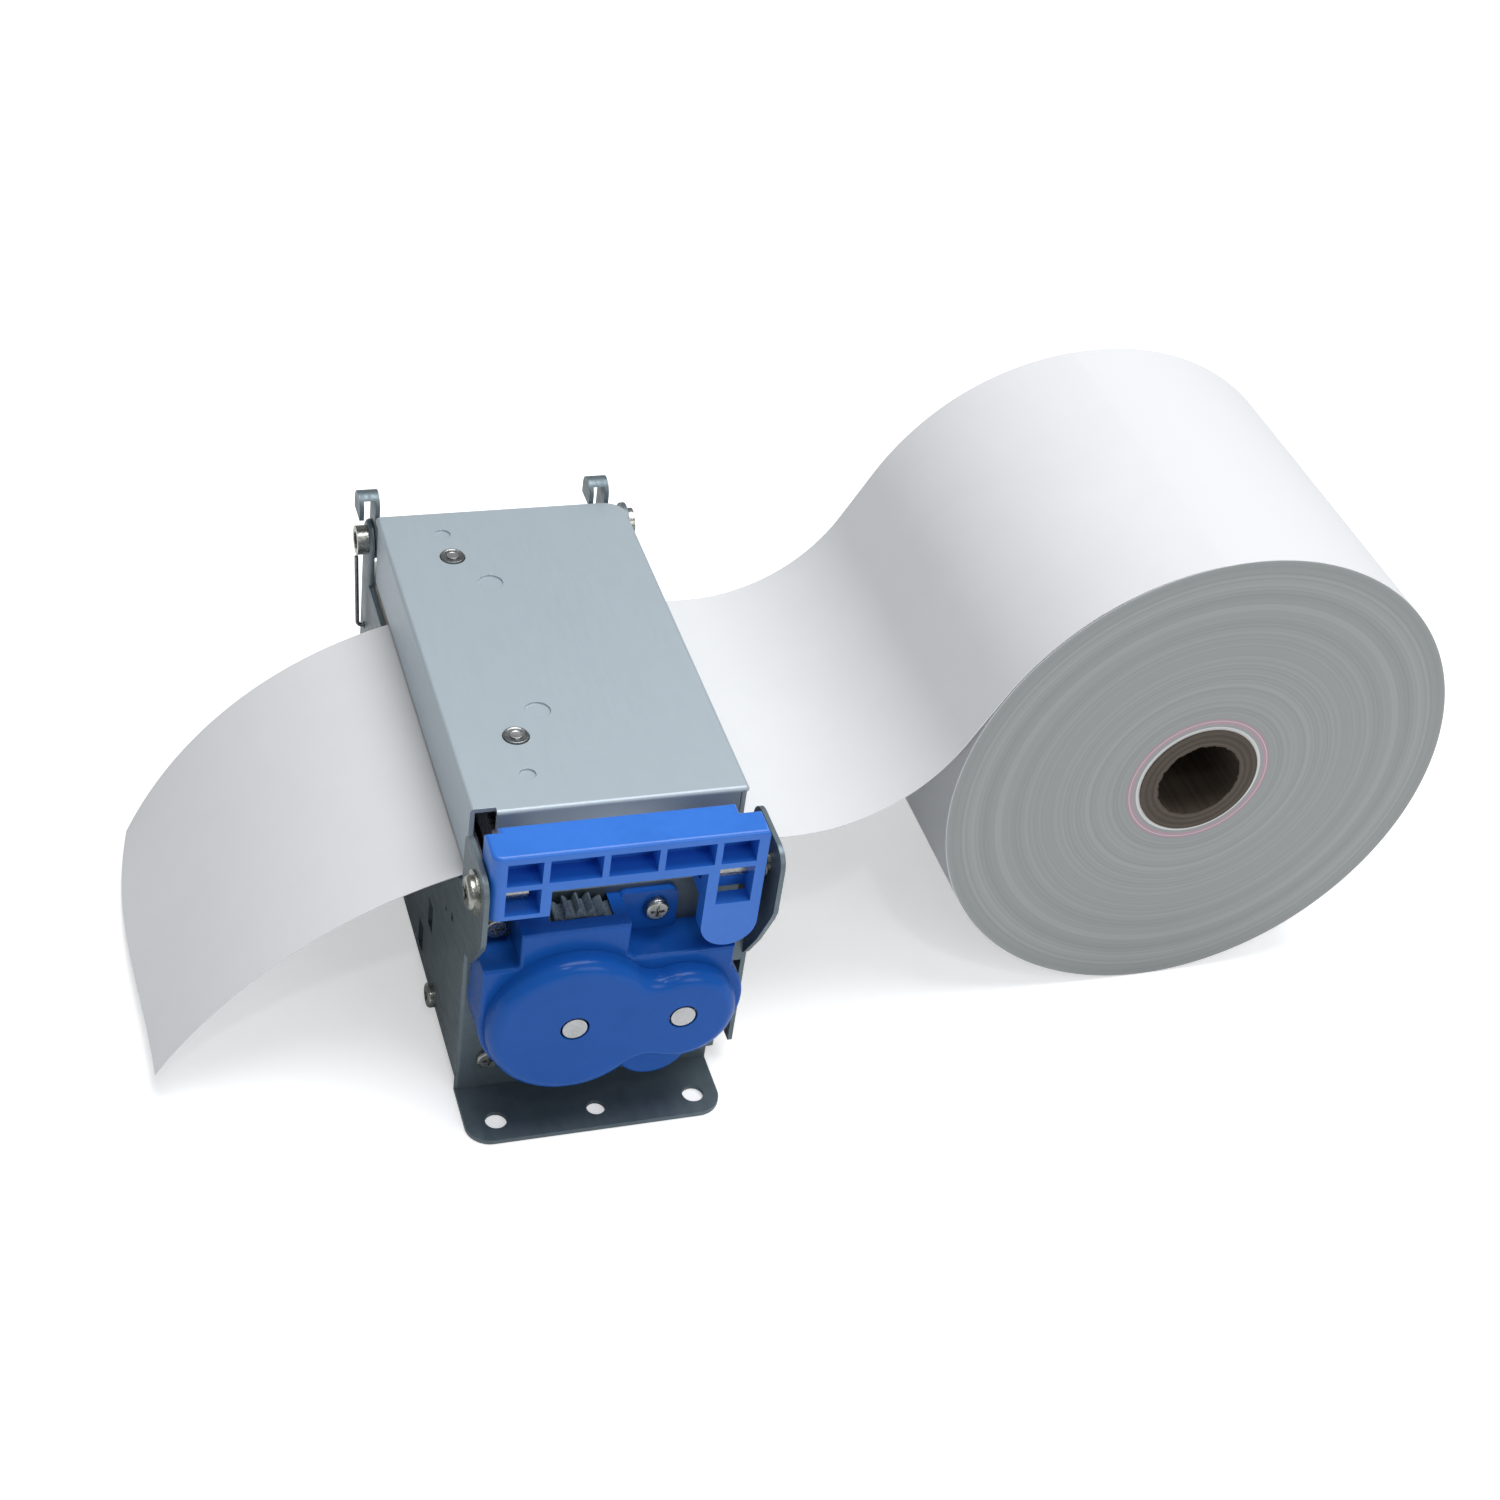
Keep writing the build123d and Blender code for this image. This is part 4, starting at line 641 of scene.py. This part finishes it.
def slip_point(along, across):
    """A place on the slip's middle surface, from its share of the length and of the width."""
    length = (LEAD_RADIUS * LEAD_TURN + CURL_RADIUS * CURL_TURN) * along
    x, z = slip_high.x, web_low.z + SLIP_THICK / 2
    lead = min(length / LEAD_RADIUS, LEAD_TURN)
    x -= LEAD_RADIUS * math.sin(lead)
    z -= LEAD_RADIUS * (1 - math.cos(lead))
    if lead == LEAD_TURN:
        turn = LEAD_TURN + (length - LEAD_RADIUS * LEAD_TURN) / CURL_RADIUS
        x -= CURL_RADIUS * (math.sin(turn) - math.sin(LEAD_TURN))
        z -= CURL_RADIUS * (math.cos(LEAD_TURN) - math.cos(turn))
    loose = along ** TWIST_GROWTH
    x += loose * (TWIST_NEAR[0] * (1 - across) + TWIST_FAR[0] * across)
    z += loose * (TWIST_NEAR[1] * (1 - across) + TWIST_FAR[1] * across)
    x -= END_WAVE * math.sin(math.pi * across ** WAVE_LEAN) * along ** WAVE_GROWTH
    y = slip_low.y + (slip_high.y - slip_low.y) * across
    return Vector((x, y, z))


bpy.ops.object.select_all(action="DESELECT")
bpy.ops.mesh.primitive_grid_add(x_subdivisions=SLIP_GRID[0], y_subdivisions=SLIP_GRID[1], size=1)
slip = bpy.context.object
slip.name = "paper_slip_finished"
for vertex in slip.data.vertices:
    vertex.co = slip_point(0.5 - vertex.co.x, vertex.co.y + 0.5)
wall = slip.modifiers.new("thickness", "SOLIDIFY")
wall.thickness = SLIP_THICK
wall.offset = 0
apply_modifiers(slip)
bpy.ops.object.shade_smooth_by_angle(angle=PAPER_SMOOTH)
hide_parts("paper_slip")
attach(slip, "frame")
dress(slip, "paper")
for side in (0, 1):
    print("slip corner:", [round(value, 4) for value in slip_point(1, side)])

# %% [markdown]
# The two guide posts are riveted through the cover. On top, each shows a turned ring with a small
# pale centre left by the lathe. The ring is a cylinder whose top is inset twice and sunk, and the
# centre is a low button with a bevelled rim. The ring is dressed in the darker spring-wire steel,
# which is painted shade for the shade on the rivet's rounded rim.

# %% Rivet ends on the cover
RING_RADIUS = 2.5 * MM
RING_HEIGHT = 0.45 * MM
RING_RIM = 0.3 * MM
RING_SINK = 0.12 * MM
BUTTON_RADIUS = 1.25 * MM
BUTTON_HEIGHT = 0.32 * MM
BUTTON_RIM = 0.25 * MM
BUTTON_SINK = 0.06 * MM
BUTTON_CORNERS = 40


def turned_button(name, place, radius, height, rim, sink):
    bpy.ops.object.select_all(action="DESELECT")
    bpy.ops.mesh.primitive_cylinder_add(vertices=BUTTON_CORNERS, radius=radius, depth=height,
                                        location=place)
    piece = bpy.context.object
    piece.name = name
    bpy.ops.object.transform_apply(location=True, rotation=True, scale=True)
    bpy.ops.object.mode_set(mode="EDIT")
    bpy.ops.mesh.select_mode(type="FACE")
    bpy.ops.mesh.select_all(action="DESELECT")
    mesh = bmesh.from_edit_mesh(piece.data)
    for face in mesh.faces:
        face.select = face.normal.z > END_FACING
    bmesh.update_edit_mesh(piece.data)
    bpy.ops.mesh.inset(thickness=rim, depth=0)
    bpy.ops.mesh.inset(thickness=rim * 0.4, depth=-sink)
    bpy.ops.object.mode_set(mode="OBJECT")
    bevel = piece.modifiers.new("rim", "BEVEL")
    bevel.width = height * 0.25
    bevel.segments = 2
    apply_modifiers(piece)
    bpy.ops.object.shade_smooth_by_angle(angle=math.radians(40))
    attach(piece, "head_unit")
    return piece


cover_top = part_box("cutter_cover")[1].z
for number in (1, 2):
    post_low, post_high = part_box(f"guide_post_{number}")
    middle = (post_low + post_high) / 2
    ring_place = (middle.x, middle.y, cover_top + RING_HEIGHT * 0.3)
    ring = turned_button(f"rivet_ring_{number}", ring_place, RING_RADIUS, RING_HEIGHT,
                         RING_RIM, RING_SINK)
    # the ring's darker spring-wire finish is painted shade for the shade on the rivet's rounded rim
    dress(ring, "spring_wire")
    button_place = (middle.x, middle.y, cover_top + RING_HEIGHT * 0.7)
    button = turned_button(f"rivet_centre_{number}", button_place, BUTTON_RADIUS, BUTTON_HEIGHT,
                           BUTTON_RIM, BUTTON_SINK)
    dress(button, "bright_steel")
print("rivet ends on the cover: 2")

# %% [markdown]
# The print head floats on two coil springs that hang from the cover. Each is a merged copy of its
# CAD part, smoothed, moved with the head unit and given its finish.

# %% Head springs
for number in (1, 2):
    node = f"head_spring_{number}"
    spring_low, spring_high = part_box(node)
    spring = merged_copy(node, node + "_finished")
    bpy.ops.object.shade_smooth_by_angle(angle=SMOOTH_ANGLE)
    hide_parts(node)
    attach(spring, "head_unit")
    dress(spring, SLOT_OF[node])
    middle = (spring_low + spring_high) / 2
    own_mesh(spring)
print("head springs: 2")

# %% [markdown]
# The small parts that need no new edges keep their CAD mesh and get only their finish.

# %% Finishes on the other CAD parts
REPLACED = (*EDGE_RADIUS, "paper_roll", "roll_core", "paper_web", "paper_slip",
            "head_spring_1", "head_spring_2")
for node, obj in nodes.items():
    if node not in REPLACED:
        dress(obj, SLOT_OF[node])
        only(obj)
        bpy.ops.object.shade_smooth_by_angle(angle=SMOOTH_ANGLE)
print("dressed the rest")
